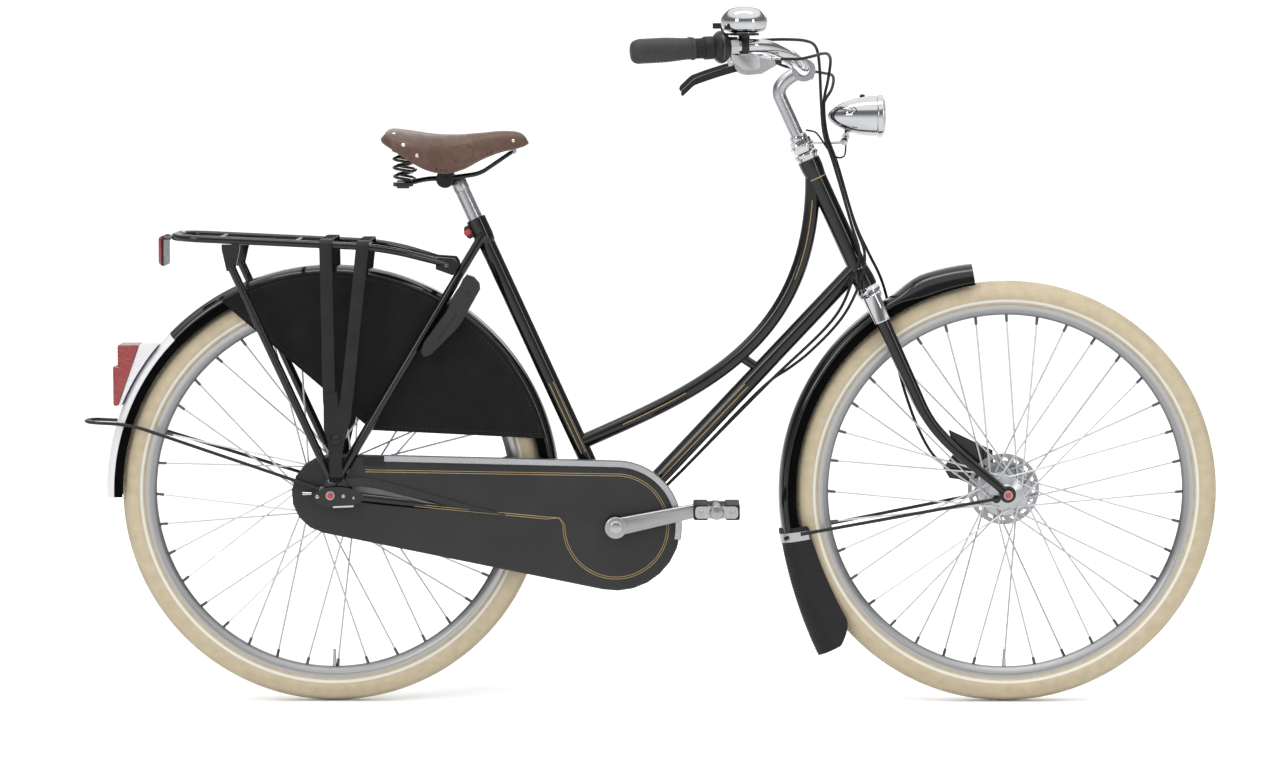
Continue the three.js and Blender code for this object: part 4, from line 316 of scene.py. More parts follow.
black = enamel("black_enamel", (0.0030, 0.0030, 0.0035), (0.0050, 0.0050, 0.0055), 0.12, 0.3, 0.22)
white = enamel("white_enamel", (0.55, 0.55, 0.57), (0.60, 0.60, 0.615), 0.3, 0.1, 0.2)
case_paint = enamel("case_enamel", (0.019, 0.019, 0.020), (0.025, 0.025, 0.026), 0.38, 0.08, 0.15)
case_light = enamel("case_window", (0.085, 0.085, 0.087), (0.105, 0.105, 0.107), 0.4, 0.1, 0.2)
chrome = polished("chrome", (0.44, 0.445, 0.455), 0.04, 0.10)
alloy = polished("alloy", (0.37, 0.375, 0.385), 0.22, 0.34, 40)
brushed = polished("brushed_alloy", (0.36, 0.365, 0.38), 0.24, 0.36, 30, (1, 8, 1), 0.03)
zinc = polished("zinc", (0.33, 0.335, 0.35), 0.28, 0.45, 120)
crank_alloy = polished("crank_alloy", (0.31, 0.315, 0.32), 0.36, 0.42, 20)
spoke_steel = polished("spoke_steel", (0.50, 0.505, 0.515), 0.40, 0.5, 200)
dark_steel = polished("dark_steel", (0.10, 0.10, 0.105), 0.30, 0.5, 120)
copper = polished("copper", (0.62, 0.57, 0.50), 0.3, 0.45, 160)
gold_line = enamel("gold_line", (0.26, 0.18, 0.07), (0.34, 0.24, 0.10), 0.35, 0.2)
rubber = moulded("black_rubber", (0.007, 0.007, 0.0075), (0.012, 0.012, 0.013), 0.58, level=0.22)
grip_rubber = moulded("grip_rubber", (0.026, 0.026, 0.027), (0.036, 0.036, 0.037), 0.6, 1200, 0.25, 0.2)
plastic = moulded("black_plastic", (0.007, 0.007, 0.0075), (0.012, 0.012, 0.013), 0.36, 1400, 0.06, 0.22)
vinyl = moulded("guard_vinyl", (0.0045, 0.0045, 0.005), (0.0075, 0.0075, 0.008), 0.5, 1800, 0.1, 0.1)
red_cap = moulded("red_cap", (0.36, 0.03, 0.03), (0.45, 0.05, 0.045), 0.3, 600, 0.05)
# Near-black and dull, for the lips inside the fenders' edges: painted shade where the shadow between fender and
# tyre falls
inside = moulded("fender_edge_painted_shade", (0.0012, 0.0012, 0.0013), (0.0024, 0.0024, 0.0025), 0.9, level=0.03)
# Dark brown for the saddle's punched holes and the lock's keyhole and slot: painted shade for their hollows
painted_hole_shade = moulded("punched_hole_painted_shade", (0.012, 0.008, 0.006), (0.02, 0.013, 0.01), 0.8)
thread_dark = moulded("guard_thread", (0.02, 0.02, 0.021), (0.03, 0.03, 0.031), 0.7)


STRIPE, RIB, TREAD = (0.3202, 0.0022), (0.3420, 0.0007), ((0.3455, 0.0), (0.3475, 1.0))


def tyre_material(name, centre):
    """Cream rubber with a white stripe near the rim, a fine rib on the wall and a darker, grooved tread."""
    made = Finish(name, 0.78, Specular_IOR_Level=0.3)
    radius = made.from_axle(centre)
    grain = made.noise(60, 5)
    wall = made.ramp(grain, (0.3, (0.375, 0.315, 0.215)), (0.75, (0.44, 0.375, 0.265)))
    stripe = made.ramp(made.maths("COMPARE", radius, *STRIPE), (0.4, 0.0), (0.6, 1.0))
    striped = made.mix(stripe, wall, (0.56, 0.55, 0.50))
    rib = made.ramp(made.maths("COMPARE", radius, *RIB), (0.4, 0.0), (0.6, 1.0))
    ribbed = made.mix(rib, striped, (0.40, 0.34, 0.23))
    tread = made.ramp(radius, *TREAD)
    worn = made.ramp(made.noise(25, 4), (0.3, (0.335, 0.285, 0.195)), (0.8, (0.43, 0.375, 0.27)))
    made.colour(made.mix(tread, ribbed, worn))
    made.rough(made.ramp(grain, (0.3, 0.68), (0.8, 0.86)))
    ribs = made.maths("SINE", made.maths("MULTIPLY", made.angle_round(centre), 360.0))
    made.bump(made.maths("MULTIPLY", ribs, tread), 0.3, 0.0008)
    made.bump(made.noise(900, 3), 0.12, 0.0003)
    return made.material


front_cream = tyre_material("front_tyre_cream", FRONT)
rear_cream = tyre_material("rear_tyre_cream", REAR)


# Grey of the rim by the distance from the axle, in metres: painted highlight in the bright outer band, painted
# shade in the dark bands
RIM_HIGHLIGHT_AND_SHADE = ((0.2965, 0.16), (0.3000, 0.27), (0.3052, 0.24), (0.3068, 0.11), (0.3080, 0.34), (0.3120, 0.40))


def rim_material(name, centre):
    """Turned alloy, its grey set by the distance from the axle in bands of painted highlight and painted shade.
    """
    made = Finish(name, 0.25, 1.0)
    radius = made.from_axle(centre)
    # The bands by radius are painted highlight and painted shade, not the alloy's own colour
    tone = made.ramp(radius, *RIM_HIGHLIGHT_AND_SHADE)
    grain = made.noise(160, 4)
    made.colour(made.mix(made.ramp(grain, (0.3, 0.0), (0.8, 0.12)), tone, (0.40, 0.41, 0.43)))
    made.rough(made.ramp(grain, (0.3, 0.34), (0.7, 0.42)))
    turning = made.maths("FRACT", made.maths("MULTIPLY", radius, 1800.0))
    made.bump(turning, 0.04, 0.0002)
    return made.material


front_alloy = rim_material("front_rim_alloy", FRONT)
rear_alloy = rim_material("rear_rim_alloy", REAR)


def leather_material():
    made = Finish("brown_leather", 0.5, Coat_Weight=0.06, Coat_Roughness=0.3, Specular_IOR_Level=0.25)
    tone = made.ramp(made.noise(9, 6), (0.2, (0.066, 0.036, 0.025)), (0.55, (0.098, 0.055, 0.040)),
                     (0.9, (0.132, 0.078, 0.058)))
    spots = made.ramp(made.noise(120, 4), (0.35, (0.62, 0.62, 0.62)), (0.7, (1, 1, 1)))
    made.colour(made.mix(0.6, tone, spots, "MULTIPLY"))
    made.rough(made.ramp(made.noise(40, 5), (0.3, 0.38), (0.75, 0.62)))
    made.bump(made.cells(420, "DISTANCE_TO_EDGE"), 0.25, 0.0005)
    made.bump(made.noise(160, 5), 0.2, 0.0006)
    return made.material


leather = leather_material()


def lens_material(name, dark, light, clear):
    made = Finish(name, 0.08, Transmission_Weight=clear, IOR=1.49, Coat_Weight=0.3)
    made.colour(made.ramp(made.cells(220), (0.1, light), (0.5, dark)))
    made.bump(made.cells(220, "DISTANCE_TO_EDGE"), 0.4, 0.0008)
    return made.material


red_lens = lens_material("red_lens", (0.19, 0.016, 0.017), (0.28, 0.034, 0.034), 0.0)
clear_lens = lens_material("clear_lens", (0.80, 0.82, 0.84), (0.93, 0.94, 0.95), 0.85)


def floor_material():
    made = Finish("floor", 0.95, Specular_IOR_Level=0.1)
    made.colour(made.ramp(made.noise(0.8, 3), (0.3, (0.90, 0.90, 0.90)), (0.8, (0.915, 0.915, 0.915))))
    return made.material


floor_mesh = bpy.data.meshes.new("floor")
floor_mesh.from_pydata([(x * FLOOR_REACH, y * FLOOR_REACH, 0) for x, y in ((-1, -1), (1, -1), (1, 1), (-1, 1))],
                       [], [(0, 1, 2, 3)])
floor_mesh.materials.append(floor_material())
floor = bpy.data.objects.new("floor", floor_mesh)
bpy.context.scene.collection.objects.link(floor)
floor.location.z = FLOOR_HEIGHT

BODY_OF = {name: body for body, names in frame["record"]["behaviour"]["bodies"].items() for name in names}


# Shapes
def turns(count, start=0.0):
    """Angles evenly round a circle."""
    return [start + FULL * i / count for i in range(count)]


def spline(points, steps):
    """A smooth line through the points, which slows down where they are close."""
    spots = [Vector(spot) for spot in points]
    spots = [spots[0] * 2 - spots[1], *spots, spots[-1] * 2 - spots[-2]]
    line = []
    for a, b, c, d in zip(spots, spots[1:], spots[2:], spots[3:]):
        first = math.sqrt((b - a).length)
        second = first + math.sqrt((c - b).length)
        third = second + math.sqrt((d - c).length)
        for i in range(steps):
            at = first + (second - first) * i / steps
            ab = a.lerp(b, at / first)
            bc = b.lerp(c, (at - first) / (second - first))
            cd = c.lerp(d, (at - second) / (third - second))
            near, far = ab.lerp(bc, at / second), bc.lerp(cd, (at - first) / (third - first))
            line.append(near.lerp(far, (at - first) / (second - first)))
    return [*line, Vector(points[-1])]


def bezier(a, b, c, d, steps):
    line = []
    for i in range(steps + 1):
        t = i / steps
        line.append(a * (1 - t) ** 3 + b * 3 * t * (1 - t) ** 2 + c * 3 * t * t * (1 - t) + d * t ** 3)
    return line


def bent(corners, pull, steps):
    """A line with its corners rounded off."""
    line = [corners[0]]
    for before, corner, after in zip(corners, corners[1:], corners[2:]):
        start = corner + (before - corner).normalized() * pull
        end = corner + (after - corner).normalized() * pull
        for i in range(steps + 1):
            t = i / steps
            line.append(start.lerp(corner, t).lerp(corner.lerp(end, t), t))
    return [*line, corners[-1]]


def smooth(share):
    return share * share * (3 - 2 * share)


def ring_profile(inner, outer, low, high, edge):
    """The profile of a turned ring with its outer edges broken."""
    return [(inner, low), (outer - edge, low), (outer, low + edge), (outer, high - edge), (outer - edge, high),
            (inner, high)]


def screw_profile(radius, low, shoulder, top_radius, high):
    """The profile of a screw's head, solid to its middle."""
    return [(0.5, low), (radius, low), (radius, shoulder), (top_radius, high), (0.5, high)]


def over(arm):
    """A line from the right side of the bicycle over to its left side, where it follows the arm back."""
    return [*(xyz(spot.x, -spot.y, spot.z) for spot in arm), *reversed(arm)]


def both_sides(half):
    """A profile followed by its mirror image, which leads back to where it began."""
    return [*half, *((radius, -y) for radius, y in reversed(half))]


def straight(start, end, steps=1):
    return [start.lerp(end, i / steps) for i in range(steps + 1)]


class Shape:
    """Points and faces in millimetres, with a material for each face."""

    def __init__(self):
        self.points, self.faces, self.slots, self.materials = [], [], [], []

    def add(self, points, faces, material):
        if material not in self.materials:
            self.materials.append(material)
        base = len(self.points)
        self.points += [Vector(spot) for spot in points]
        self.faces += [[base + i for i in face] for face in faces]
        self.slots += [self.materials.index(material)] * len(faces)
        return self

    def loft(self, rings, material, closed=False, caps=True):
        """A skin over rings of as many points each."""
        count = len(rings[0])
        faces = []
        for ring in range(len(rings) if closed else len(rings) - 1):
            onward = (ring + 1) % len(rings)
            for i in range(count):
                j = (i + 1) % count
                faces.append((ring * count + i, ring * count + j, onward * count + j, onward * count + i))
        if caps and not closed:
            faces.append(tuple(reversed(range(count))))
            faces.append(tuple(range((len(rings) - 1) * count, len(rings) * count)))
        return self.add([spot for ring in rings for spot in ring], faces, material)

    def tube(self, path, radius, material, sides):
        """A round bar along a path, with one radius or a radius for each of its points."""
        radii = radius if isinstance(radius, list) else [radius] * len(path)
        along = (path[1] - path[0]).normalized()
        across = along.cross(Z_AXIS if abs(along.z) < 0.9 else X_AXIS).normalized()
        rings = []
        for i, spot in enumerate(path):
            along = (path[min(i + 1, len(path) - 1)] - path[max(i - 1, 0)]).normalized()
            across = (across - along * across.dot(along)).normalized()
            other = along.cross(across)
            rings.append([spot + across * radii[i] * math.cos(a) + other * radii[i] * math.sin(a)
                          for a in turns(sides, math.pi / sides)])
        return self.loft(rings, material)

    def lathe(self, profile, centre, axis, material, sides=48, closed=False):
        """A turned body: pairs of radius and height along the axis."""
        turn = Z_AXIS.rotation_difference(axis).to_matrix()
        rings = [[centre + turn @ xyz(radius * math.cos(a), radius * math.sin(a), height)
                  for a in turns(sides)] for radius, height in profile]
        return self.loft(rings, material, closed, not closed)

    def ring(self, profile, centre, axis, material, sides=48):
        """A turned body with a bore, whose profile is a closed line."""
        return self.lathe(profile, centre, axis, material, sides, closed=True)

    def slab(self, outline, low, high, material):
        """A plate with its outline in X and Z, between two Y values."""
        return self.loft([[xyz(x, y, z) for x, z in outline] for y in (low, high)], material)

    def dome(self, centre, axis, radius, height, material, sides=20):
        profile = [(radius * math.cos(a), height * math.sin(a)) for a in (i * math.pi / 10 for i in range(6))]
        return self.lathe([(radius, -height * 0.4), *profile], centre, axis, material, sides)

    def copy(self, name, material):
        """The CAD node's own faces."""
        mesh = frame["nodes"][name].data
        faces = [tuple(face.vertices) for face in mesh.polygons]
        return self.add([vertex.co / MM for vertex in mesh.vertices], faces, material)

    def make(self, name, node_name, angle=38, bevel=0.0, extra=False):
        """The finished piece, which replaces a CAD node or is an extra one on that node's body."""
        mesh = bpy.data.meshes.new(name)
        mesh.from_pydata([spot * MM for spot in self.points], [], self.faces)
        for material in self.materials:
            mesh.materials.append(material)
        mesh.polygons.foreach_set("material_index", self.slots)
        nodes = () if extra else (node_name,)
        return finish_piece(name, mesh, BODY_OF[node_name], nodes, angle, bevel)


def finish_piece(name, mesh, body, nodes, angle, bevel):
    """Joins split corners, shades smooth up to an angle, and puts the piece on its body."""
    build = bmesh.new()
    build.from_mesh(mesh)
    bmesh.ops.remove_doubles(build, verts=build.verts, dist=1e-6)
    bmesh.ops.recalc_face_normals(build, faces=build.faces)
    build.to_mesh(mesh)
    build.free()
    mesh.shade_smooth()
    mesh.set_sharp_from_angle(angle=math.radians(angle))
    made = bpy.data.objects.new(name, mesh)
    bpy.context.scene.collection.objects.link(made)
    if bevel:
        rounded = made.modifiers.new("edges", "BEVEL")
        rounded.width = bevel * MM
        rounded.segments = 2
        rounded.limit_method = "ANGLE"
        rounded.angle_limit = math.radians(angle)
    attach(made, body)
    if nodes:
        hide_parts(*nodes)
    return made


def refined(name, material, angle=50, bevel=0.0):
    """A smooth copy of a CAD node."""
    mesh = frame["nodes"][name].data.copy()
    mesh.name = name + "_finished"
    mesh.materials.clear()
    mesh.materials.append(material)
    return finish_piece(name + "_finished", mesh, BODY_OF[name], (name,), angle, bevel)


# Wheels
WALL = ((313.8, 13), (318.9, 17.6), (331, 21), (346.3, 14.3), (353, 0))
TYRE_SIDES, GROOVE_DEPTH, GROOVE_FROM, GROOVE_TO = 320, 0.8, 3, 13.5
RIM_WALL = ((313.4, 13.5), (307.4, 13.5), (306.0, 13.1), (300.2, 8.6), (297.2, 6.2), (296.2, 5), (296, 3.6))
RIM_BED = ((312.0, -12.0), (308.0, -6.0), (308.0, 6.0), (312.0, 12.0))
VALVE = ((296.5, 3.2), (283, 2.6), (267, 2.3))
FRONT_HUB = {"half": 45, "flange_y": 29, "flange": 30, "barrel": 15, "end": 12, "phase": 0}
REAR_HUB = {"half": 55, "flange_y": 27, "flange": 44, "barrel": 31, "end": 20, "phase": 1}
# Thickness of a flange, number of spokes, their radius and weave, the turn of a spoke and where it ends
FLANGE, SPOKES, SPOKE, WEAVE, CROSS, NIPPLE_END = 3, 36, 1.6, 1.6, 60, 296.6
HUB_BORE, HOLE_SHARE = 5.7, 0.9


def tyre(name, centre, material):
    """A tyre whose tread is cut across by small grooves."""
    rings = []
    for spot in spline([*WALL, *((r, -y) for r, y in reversed(WALL[:-1]))], 5):
        cut = GROOVE_DEPTH if GROOVE_FROM < abs(spot.y) < GROOVE_TO else 0
        rings.append([])
        for i, a in enumerate(turns(TYRE_SIDES)):
            radius = spot.x - cut * (i % 2)
            rings[-1].append(centre + xyz(radius * math.cos(a), spot.y, radius * math.sin(a)))
    Shape().loft(rings, material, closed=True).make(name + "_rubber", name, angle=50)


def rim(name, centre, material):
    """A rim with its valve at the bottom."""
    shape = Shape().ring([*both_sides(RIM_WALL), *RIM_BED], centre, Y_AXIS, material, 200)
    (foot, stem_radius), (middle, neck), (tip, end) = VALVE
    shape.tube([polar(centre, -90, foot), polar(centre, -90, middle)], stem_radius, alloy, 12)
    shape.tube([polar(centre, -90, middle), polar(centre, -90, tip)], [neck, end], zinc, 12)
    shape.make(name + "_alloy", name, angle=35)


def hub(name, centre, sizes, material, extra=None):
    """A hub with its spokes, which cross from alternate sides of each flange."""
    out = sizes["flange_y"] + FLANGE
    half, flange, barrel, end = sizes["half"], sizes["flange"], sizes["barrel"], sizes["end"]
    profile = ((HUB_BORE, half), (end - 1.2, half), (end, half - 1.2), (end, out + 5),
               ((end + barrel) / 2, out + 2.5), (barrel, out + 1.4), (flange - 1, out), (flange, out - 0.8),
               (flange, out - 2.2), (flange - 1, out - 3), (barrel + 3, out - 4.2), (barrel, out - 7))
    shape = Shape().ring(both_sides([(r, -y) for r, y in profile]), centre, Y_AXIS, material)
    for i in range(SPOKES):
        side = -1 if i % 2 == 0 else 1
        lead = -1 if (i // 2) % 2 == 0 else 1
        rim_angle = sizes["phase"] + 360 * i / SPOKES
        y = side * (sizes["flange_y"] + FLANGE / 2 + lead * WEAVE)
        hole_angle, hole_radius = rim_angle + CROSS * lead, flange * HOLE_SHARE
        start = polar(centre, hole_angle, hole_radius, y)
        end_spot = polar(centre, rim_angle, NIPPLE_END, side * SPOKE)
        way = (end_spot - start).normalized()
        shape.tube([start, end_spot], SPOKE, spoke_steel, 7)
        shape.tube([end_spot - way * 13, end_spot - way * 11.5, end_spot], [1.7, 2.5, 2.5], dark_steel, 6)
        head_y = side * (out if lead > 0 else out - FLANGE)
        head_spot = polar(centre, hole_angle, hole_radius, head_y)
        shape.dome(head_spot, Y_AXIS * side * lead, 1.9, 1.4, spoke_steel, 8)
    if extra:
        extra(shape)
    shape.make(name + "_laced", name)


# The cooling disc's two rings, its bridges in degrees round the axle, and the profile of its dish
DISC_RINGS, DISC_LOW, DISC_HIGH, BRIDGES = ((16, 48), (53, 60)), 34, 36, 16
BRIDGE = ((47.5, (0, 4, 8, 13)), (53.5, (17, 12, 8, 4)))
DISH = ((16, 31.6), (21, 31.6), (22, 32.4), (24, 32.4), (25, 31.4), (43, 31.4), (45, 32.4), (45, 33.9),
        (16, 33.9))


def cooling_disc(shape):
    """The disc on the left side, with slots near its edge, and the brighter dish before it."""
    for inner, outer in DISC_RINGS:
        profile = [(inner, DISC_LOW), (outer - 0.5, DISC_LOW), (outer, DISC_LOW + 0.5), (outer, DISC_HIGH),
                   (inner, DISC_HIGH)]
        shape.ring(profile, FRONT, Y_AXIS, zinc, 72)
    for i in range(BRIDGES):
        bridge = [polar(FRONT, 360 / BRIDGES * i + turned, radius)
                  for radius, angles in BRIDGE for turned in angles]
        shape.slab([(spot.x, spot.z) for spot in bridge], DISC_LOW + 0.2, DISC_HIGH - 0.2, zinc)
    shape.ring(DISH, FRONT, Y_AXIS, alloy, 64)


tyre("front_tyre", FRONT, front_cream)
tyre("rear_tyre", REAR, rear_cream)
rim("front_rim", FRONT, front_alloy)
rim("rear_rim", REAR, rear_alloy)
hub("front_hub", FRONT, FRONT_HUB, brushed, cooling_disc)
hub("rear_hub", REAR, REAR_HUB, brushed)


# What sits on an axle's end, by its height over the face of the dropout: washer, nut, collar and cap
AXLE_END = ((((5, 0), (9.6, 0), (9.6, 1.4), (9.0, 1.8), (5, 1.8)), black, 24),
            (ring_profile(4.8, 9.0, 1.8, 9, 0.8), black, 6),
            (((4.6, 9), (7.6, 9), (7.8, 10), (7.2, 10.8), (4.6, 10.8)), zinc, 24),
            (((5.4, 10.2), (5.4, 11.8), (4.6, 13.2), (2.6, 14), (0.4, 14.2)), red_cap, 24))
ARM_THICK = 4


def axle(name, centre, face, drum, low, width, arms, extra):
    """An axle with its nuts, and the brake drum and arms that stand still round it."""
    shape = Shape()
    tip = face + 14
    shape.tube([centre - Y_AXIS * (tip - 1), centre + Y_AXIS * (tip - 1)], 5, zinc, 16)
    for side, _ in SIDES:
        place = centre + Y_AXIS * side * face
        for profile, material, sides in AXLE_END:
            shape.lathe(profile, place, Y_AXIS * side, material, sides)
    high = low + width
    profile = [(5, low), (drum - 1.5, low), (drum, low + 1.5), (drum, high - 1.5), (drum - 1.5, high),
               (drum * 0.72, high), (drum * 0.68, high - 1.2), (drum * 0.4, high - 1.2), (drum * 0.36, high),
               (5, high)]
    shape.lathe(profile, centre, Y_AXIS, black, 64)
    for angle, length, wide in arms:
        outline = []
        turn = math.radians(angle)
        half = ((0, -wide), (length * 0.5, -wide * 0.82), (length, -wide * 0.5))
        for reach, across in both_sides(half):
            outline.append((centre.x + reach * math.cos(turn) - across * math.sin(turn),
                            centre.z + reach * math.sin(turn) + across * math.cos(turn)))
        shape.slab(outline, low, low + ARM_THICK, black)
        bolt = polar(centre, angle, length - 9, low)
        shape.lathe(screw_profile(4.5, -1, 5.4, 3.5, 6.2), bolt, Y_AXIS, zinc, 12)
    extra(shape)
    shape.make(name + "_fittings", name, angle=35)


TORQUE_PLATE = ((-92.8, 100), (-18.4, 65), (-16, 30), (-60, 14), (-90.5, 17.5), (-101, 35), (-82, 62))


def torque_plate(shape):
    """The wide plate that holds the front brake against the left blade."""
    shape.slab([(FRONT.x + ahead, FRONT.z + above) for ahead, above in TORQUE_PLATE], 38.6, 42.2, black)


def axle_cover(shape):
    """The pointed oval cover over the right end of the rear axle, with its bright screws."""
    oval = [(40 * math.cos(a), 17.5 * math.sin(a)) for a in turns(40)]
    outline = [(-519 + x + max(x - 30, 0) * 0.4, 350 + z) for x, z in oval]
    shape.slab(outline, -78, -74.8, black)
    shape.tube(straight(xyz(-526, -78, 334), xyz(-492, -78, 335.5), 4), 1.7, chrome, 10)
    shape.tube([xyz(-577, -72, 356), xyz(-562, -72, 356)], [3.2, 2.6], chrome, 12)
    for ahead, above, radius in ((-552, 351, 3.4), (-509, 352, 3.4), (-492, 349, 2.4)):
        shape.dome(xyz(ahead, -78, above), -Y_AXIS, radius, 1.4, zinc, 14)


axle("front_axle", FRONT, 58.35, 40, 38.4, 6.5, ((139, 112, 15), (161, 94, 15)), torque_plate)
axle("rear_axle", REAR, 68.35, 46, 36.4, 17, ((-6, 140, 11),), axle_cover)
refined("rear_sprocket", dark_steel, 30)
refined("chain", dark_steel, 30)


# Frame
def ellipse(count, wide, tall):
    return [(wide * math.cos(a), tall * math.sin(a)) for a in turns(count)]


CORNER_STEPS = 4


def rounded_box(half_wide, half_tall, corner):
    """The outline of a box with rounded corners."""
    spots = []
    for quarter, (sx, sy) in enumerate(((1, 1), (-1, 1), (-1, -1), (1, -1))):
        for i in range(CORNER_STEPS + 1):
            a = math.pi / 2 * (quarter + i / CORNER_STEPS)
            spots.append((sx * (half_wide - corner) + corner * math.cos(a),
                          sy * (half_tall - corner) + corner * math.sin(a)))
    return spots


# Radii of the tubes
SEAT_TUBE, DOWN_TUBE, SWAN_TUBE, STAY_TUBE, STEERER, BAR_TUBE = 14, 14.2, 12.6, 7.4, 12.7, 11

# The curved top tube leaves the head 2 degrees from straight down and meets the seat tube at 24 degrees
SWAN_TOP, SWAN_FOOT = head(626), seat(147)
SWAN = bezier(SWAN_TOP, SWAN_TOP + xyz(math.sin(math.radians(2)), 0, -math.cos(math.radians(2))) * 296,
              SWAN_FOOT + xyz(math.cos(math.radians(24)), 0, math.sin(math.radians(24))) * 212, SWAN_FOOT, 48)
DOWN_TOP = head(HEAD_LOW + 36)
LUG = ((14.2, 0), (18.2, 0), (18.8, 0.8), (18.8, 14), (18.1, 21), (16.9, 29), (16.5, 33))
SEAT_LUG = ((14, 0), (15.6, 3), (16.4, 10), (16.8, 16), (16.8, 45.2), (16.2, 46), (13, 46))
CLAMP_EAR = ((534, 14), (534, 22), (538, 25.5), (552, 25.5), (556, 22), (556, 14))


def stay_path(side):
    """A seat stay from the seat lug, bowed out round the tyre, to the dropout."""
    top, bottom = seat(531, side * 19), xyz(-525.25, side * 63, 370)
    bow = top.lerp(bottom, 72 / (top.z - bottom.z))
    bow.y = side * 37.5
    return spline([top, bow, bottom], 16)


def main_frame():
    shape = Shape()
    length = HEAD_HIGH - HEAD_LOW
    shape.ring([*LUG, *((r, length - h) for r, h in reversed(LUG))], head(HEAD_LOW), ALONG, black, 40)
    shape.tube([BRACKET.copy(), seat(560)], SEAT_TUBE, black, 32)
    shape.lathe(SEAT_LUG, seat(515), ALONG, black, 40)
    back = xyz(-ALONG.z, 0, ALONG.x)
    for side, _ in SIDES:
        shape.loft([[seat(along, side * across) + back * reach for along, reach in CLAMP_EAR]
                    for across in (2, 8.5)], black)
    shape.lathe([(5, -9.5), (5.6, -9.4), (5.6, 9.4), (5, 10)], seat(545) + back * 19.5, Y_AXIS, dark_steel, 16)
    shape.dome(seat(545, -10) + back * 21, -Y_AXIS, 6.4, 3.4, red_cap)
    shape.ring(ring_profile(14, 21, -34, 34, 1), BRACKET, Y_AXIS, black)
    shape.tube([BRACKET.copy(), DOWN_TOP], DOWN_TUBE, black, 32)
    shape.tube(SWAN, SWAN_TUBE, black, 28)
    shape.tube([SWAN[24].lerp(SWAN[25], 0.48), BRACKET.lerp(DOWN_TOP, 0.6)], 8, black, 20)
    for side, _ in SIDES:
        shape.tube([xyz(-67.85, side * 24, 299.7), xyz(-513.75, side * 63.5, 353)], [9, 7], black, 20)
        shape.tube(stay_path(side), STAY_TUBE, black, 20)
        dropout = [(17 * math.cos(math.radians(a)), 17 * math.sin(math.radians(a))) for a in range(135, 293, 8)]
        dropout += [(34, -11), (34, 5.5), (19.5, 34), (-5.5, 34)]
        shape.slab([(REAR.x + x, REAR.z + z) for x, z in dropout], side * 65.5 - 2.5, side * 65.5 + 2.5, black)
    shape.tube([xyz(-115.35, -24, 299.7), xyz(-115.35, 24, 299.7)], 7, black, 20)
    bridge_reach = FENDER + 6 + GAP
    bridge = min(stay_path(1),
                 key=lambda spot: abs(math.hypot(spot.x - REAR.x, spot.z - REAR.z) - bridge_reach))
    shape.tube([xyz(bridge.x, -bridge.y, bridge.z), bridge], 6, black, 20)
    plate = [(-115.35 + x, 290.7 + z) for x, z in rounded_box(36.5, 3, 2)]
    shape.slab(plate, -22, 22, black)
    shape.make("frame_tubes", "main_frame", angle=35)


main_frame()


LINE_WIDTH = 0.75


def lining(shape, path, radius):
    """A thin painted line along the right-hand face of a tube."""
    shape.tube([spot - Y_AXIS * (radius - LINE_WIDTH * 0.45) for spot in path], LINE_WIDTH, gold_line, 8)


def frame_linings():
    shape = Shape()
    for shift in (-3.6, 3.6):
        lining(shape, straight(seat(130) + AHEAD * shift, seat(260) + AHEAD * shift, 4), 13.6)
    way = (DOWN_TOP - BRACKET).normalized()
    for shift in (-3.4, 3.4):
        ends = [BRACKET + way * reach + xyz(-way.z, 0, way.x) * shift for reach in (96, 318)]
        lining(shape, straight(*ends, 4), 13.9)
    for spots in (SWAN[3:13], SWAN[33:43]):
        lining(shape, spots, SWAN_TUBE)
    for along in (HEAD_LOW + 33.5, HEAD_HIGH - 33.5):
        band = [(16.2, -0.8), (16.85, -0.8), (16.85, 0.8), (16.2, 0.8)]
        shape.ring(band, head(along), ALONG, gold_line, 40)
    shape.make("frame_linings", "main_frame", extra=True)


frame_linings()


def headset():
    lower = [(13.6, 0), (20.2, 0), (20.5, 0.5), (20.5, 5), (20, 6.2), (18.2, 9), (17.4, 11.8), (13.6, 11.8)]
    for name, low, profile in (("lower_headset_cup", 396.85, lower),
                               ("upper_headset_cup", 642.35, [(r, 11.8 - h) for r, h in lower])):
        Shape().ring(profile, head(low), ALONG, chrome).make(name + "_turned", name)


headset()


# Fork
def blade_rings(side):
    """Sections of a blade, which tapers from the crown and curves forward to the axle."""
    top = CROWN_MIDDLE
    curve = bezier(xyz(196, 0, 0), xyz(122, 0, 0), xyz(58, 45, 0), xyz(0, 69, 0), 28)
    spots = [*straight(xyz(top, 0, 0), xyz(196, 0, 0), 6)[:-1], *curve]
    rings = []
    for i, spot in enumerate(spots):
        along = (spots[min(i + 1, len(spots) - 1)] - spots[max(i - 1, 0)]).normalized()
        share = 1 - spot.x / top
        depth, width = 12 - 5 * share, 9 - 3.5 * share
        y = side * (CROWN_SIDE + 12 * share)
        rings.append([head(spot.x - along.y * cx, spot.y + along.x * cx, y + cy)
                      for cx, cy in ellipse(24, depth, width)])
    return rings


def fork():
    shape = Shape()
    for side, _ in SIDES:
        shape.loft(blade_rings(side), black)
        shape.ring(ring_profile(5.6, 14, -3, 3, 0.8), FRONT + Y_AXIS * side * 52.5, Y_AXIS, black, 36)
    outline = rounded_box(8, 8.5, 3.5)
    shape.loft([[head(CROWN_MIDDLE + a, f, y) for a, f in outline] for y in (-45, -40, 0, 40, 45)], black)
    shape.tube([head(CROWN_MIDDLE), head(HEAD_HIGH + 38)], STEERER, black, 28)
    shape.make("fork_blades", "fork")


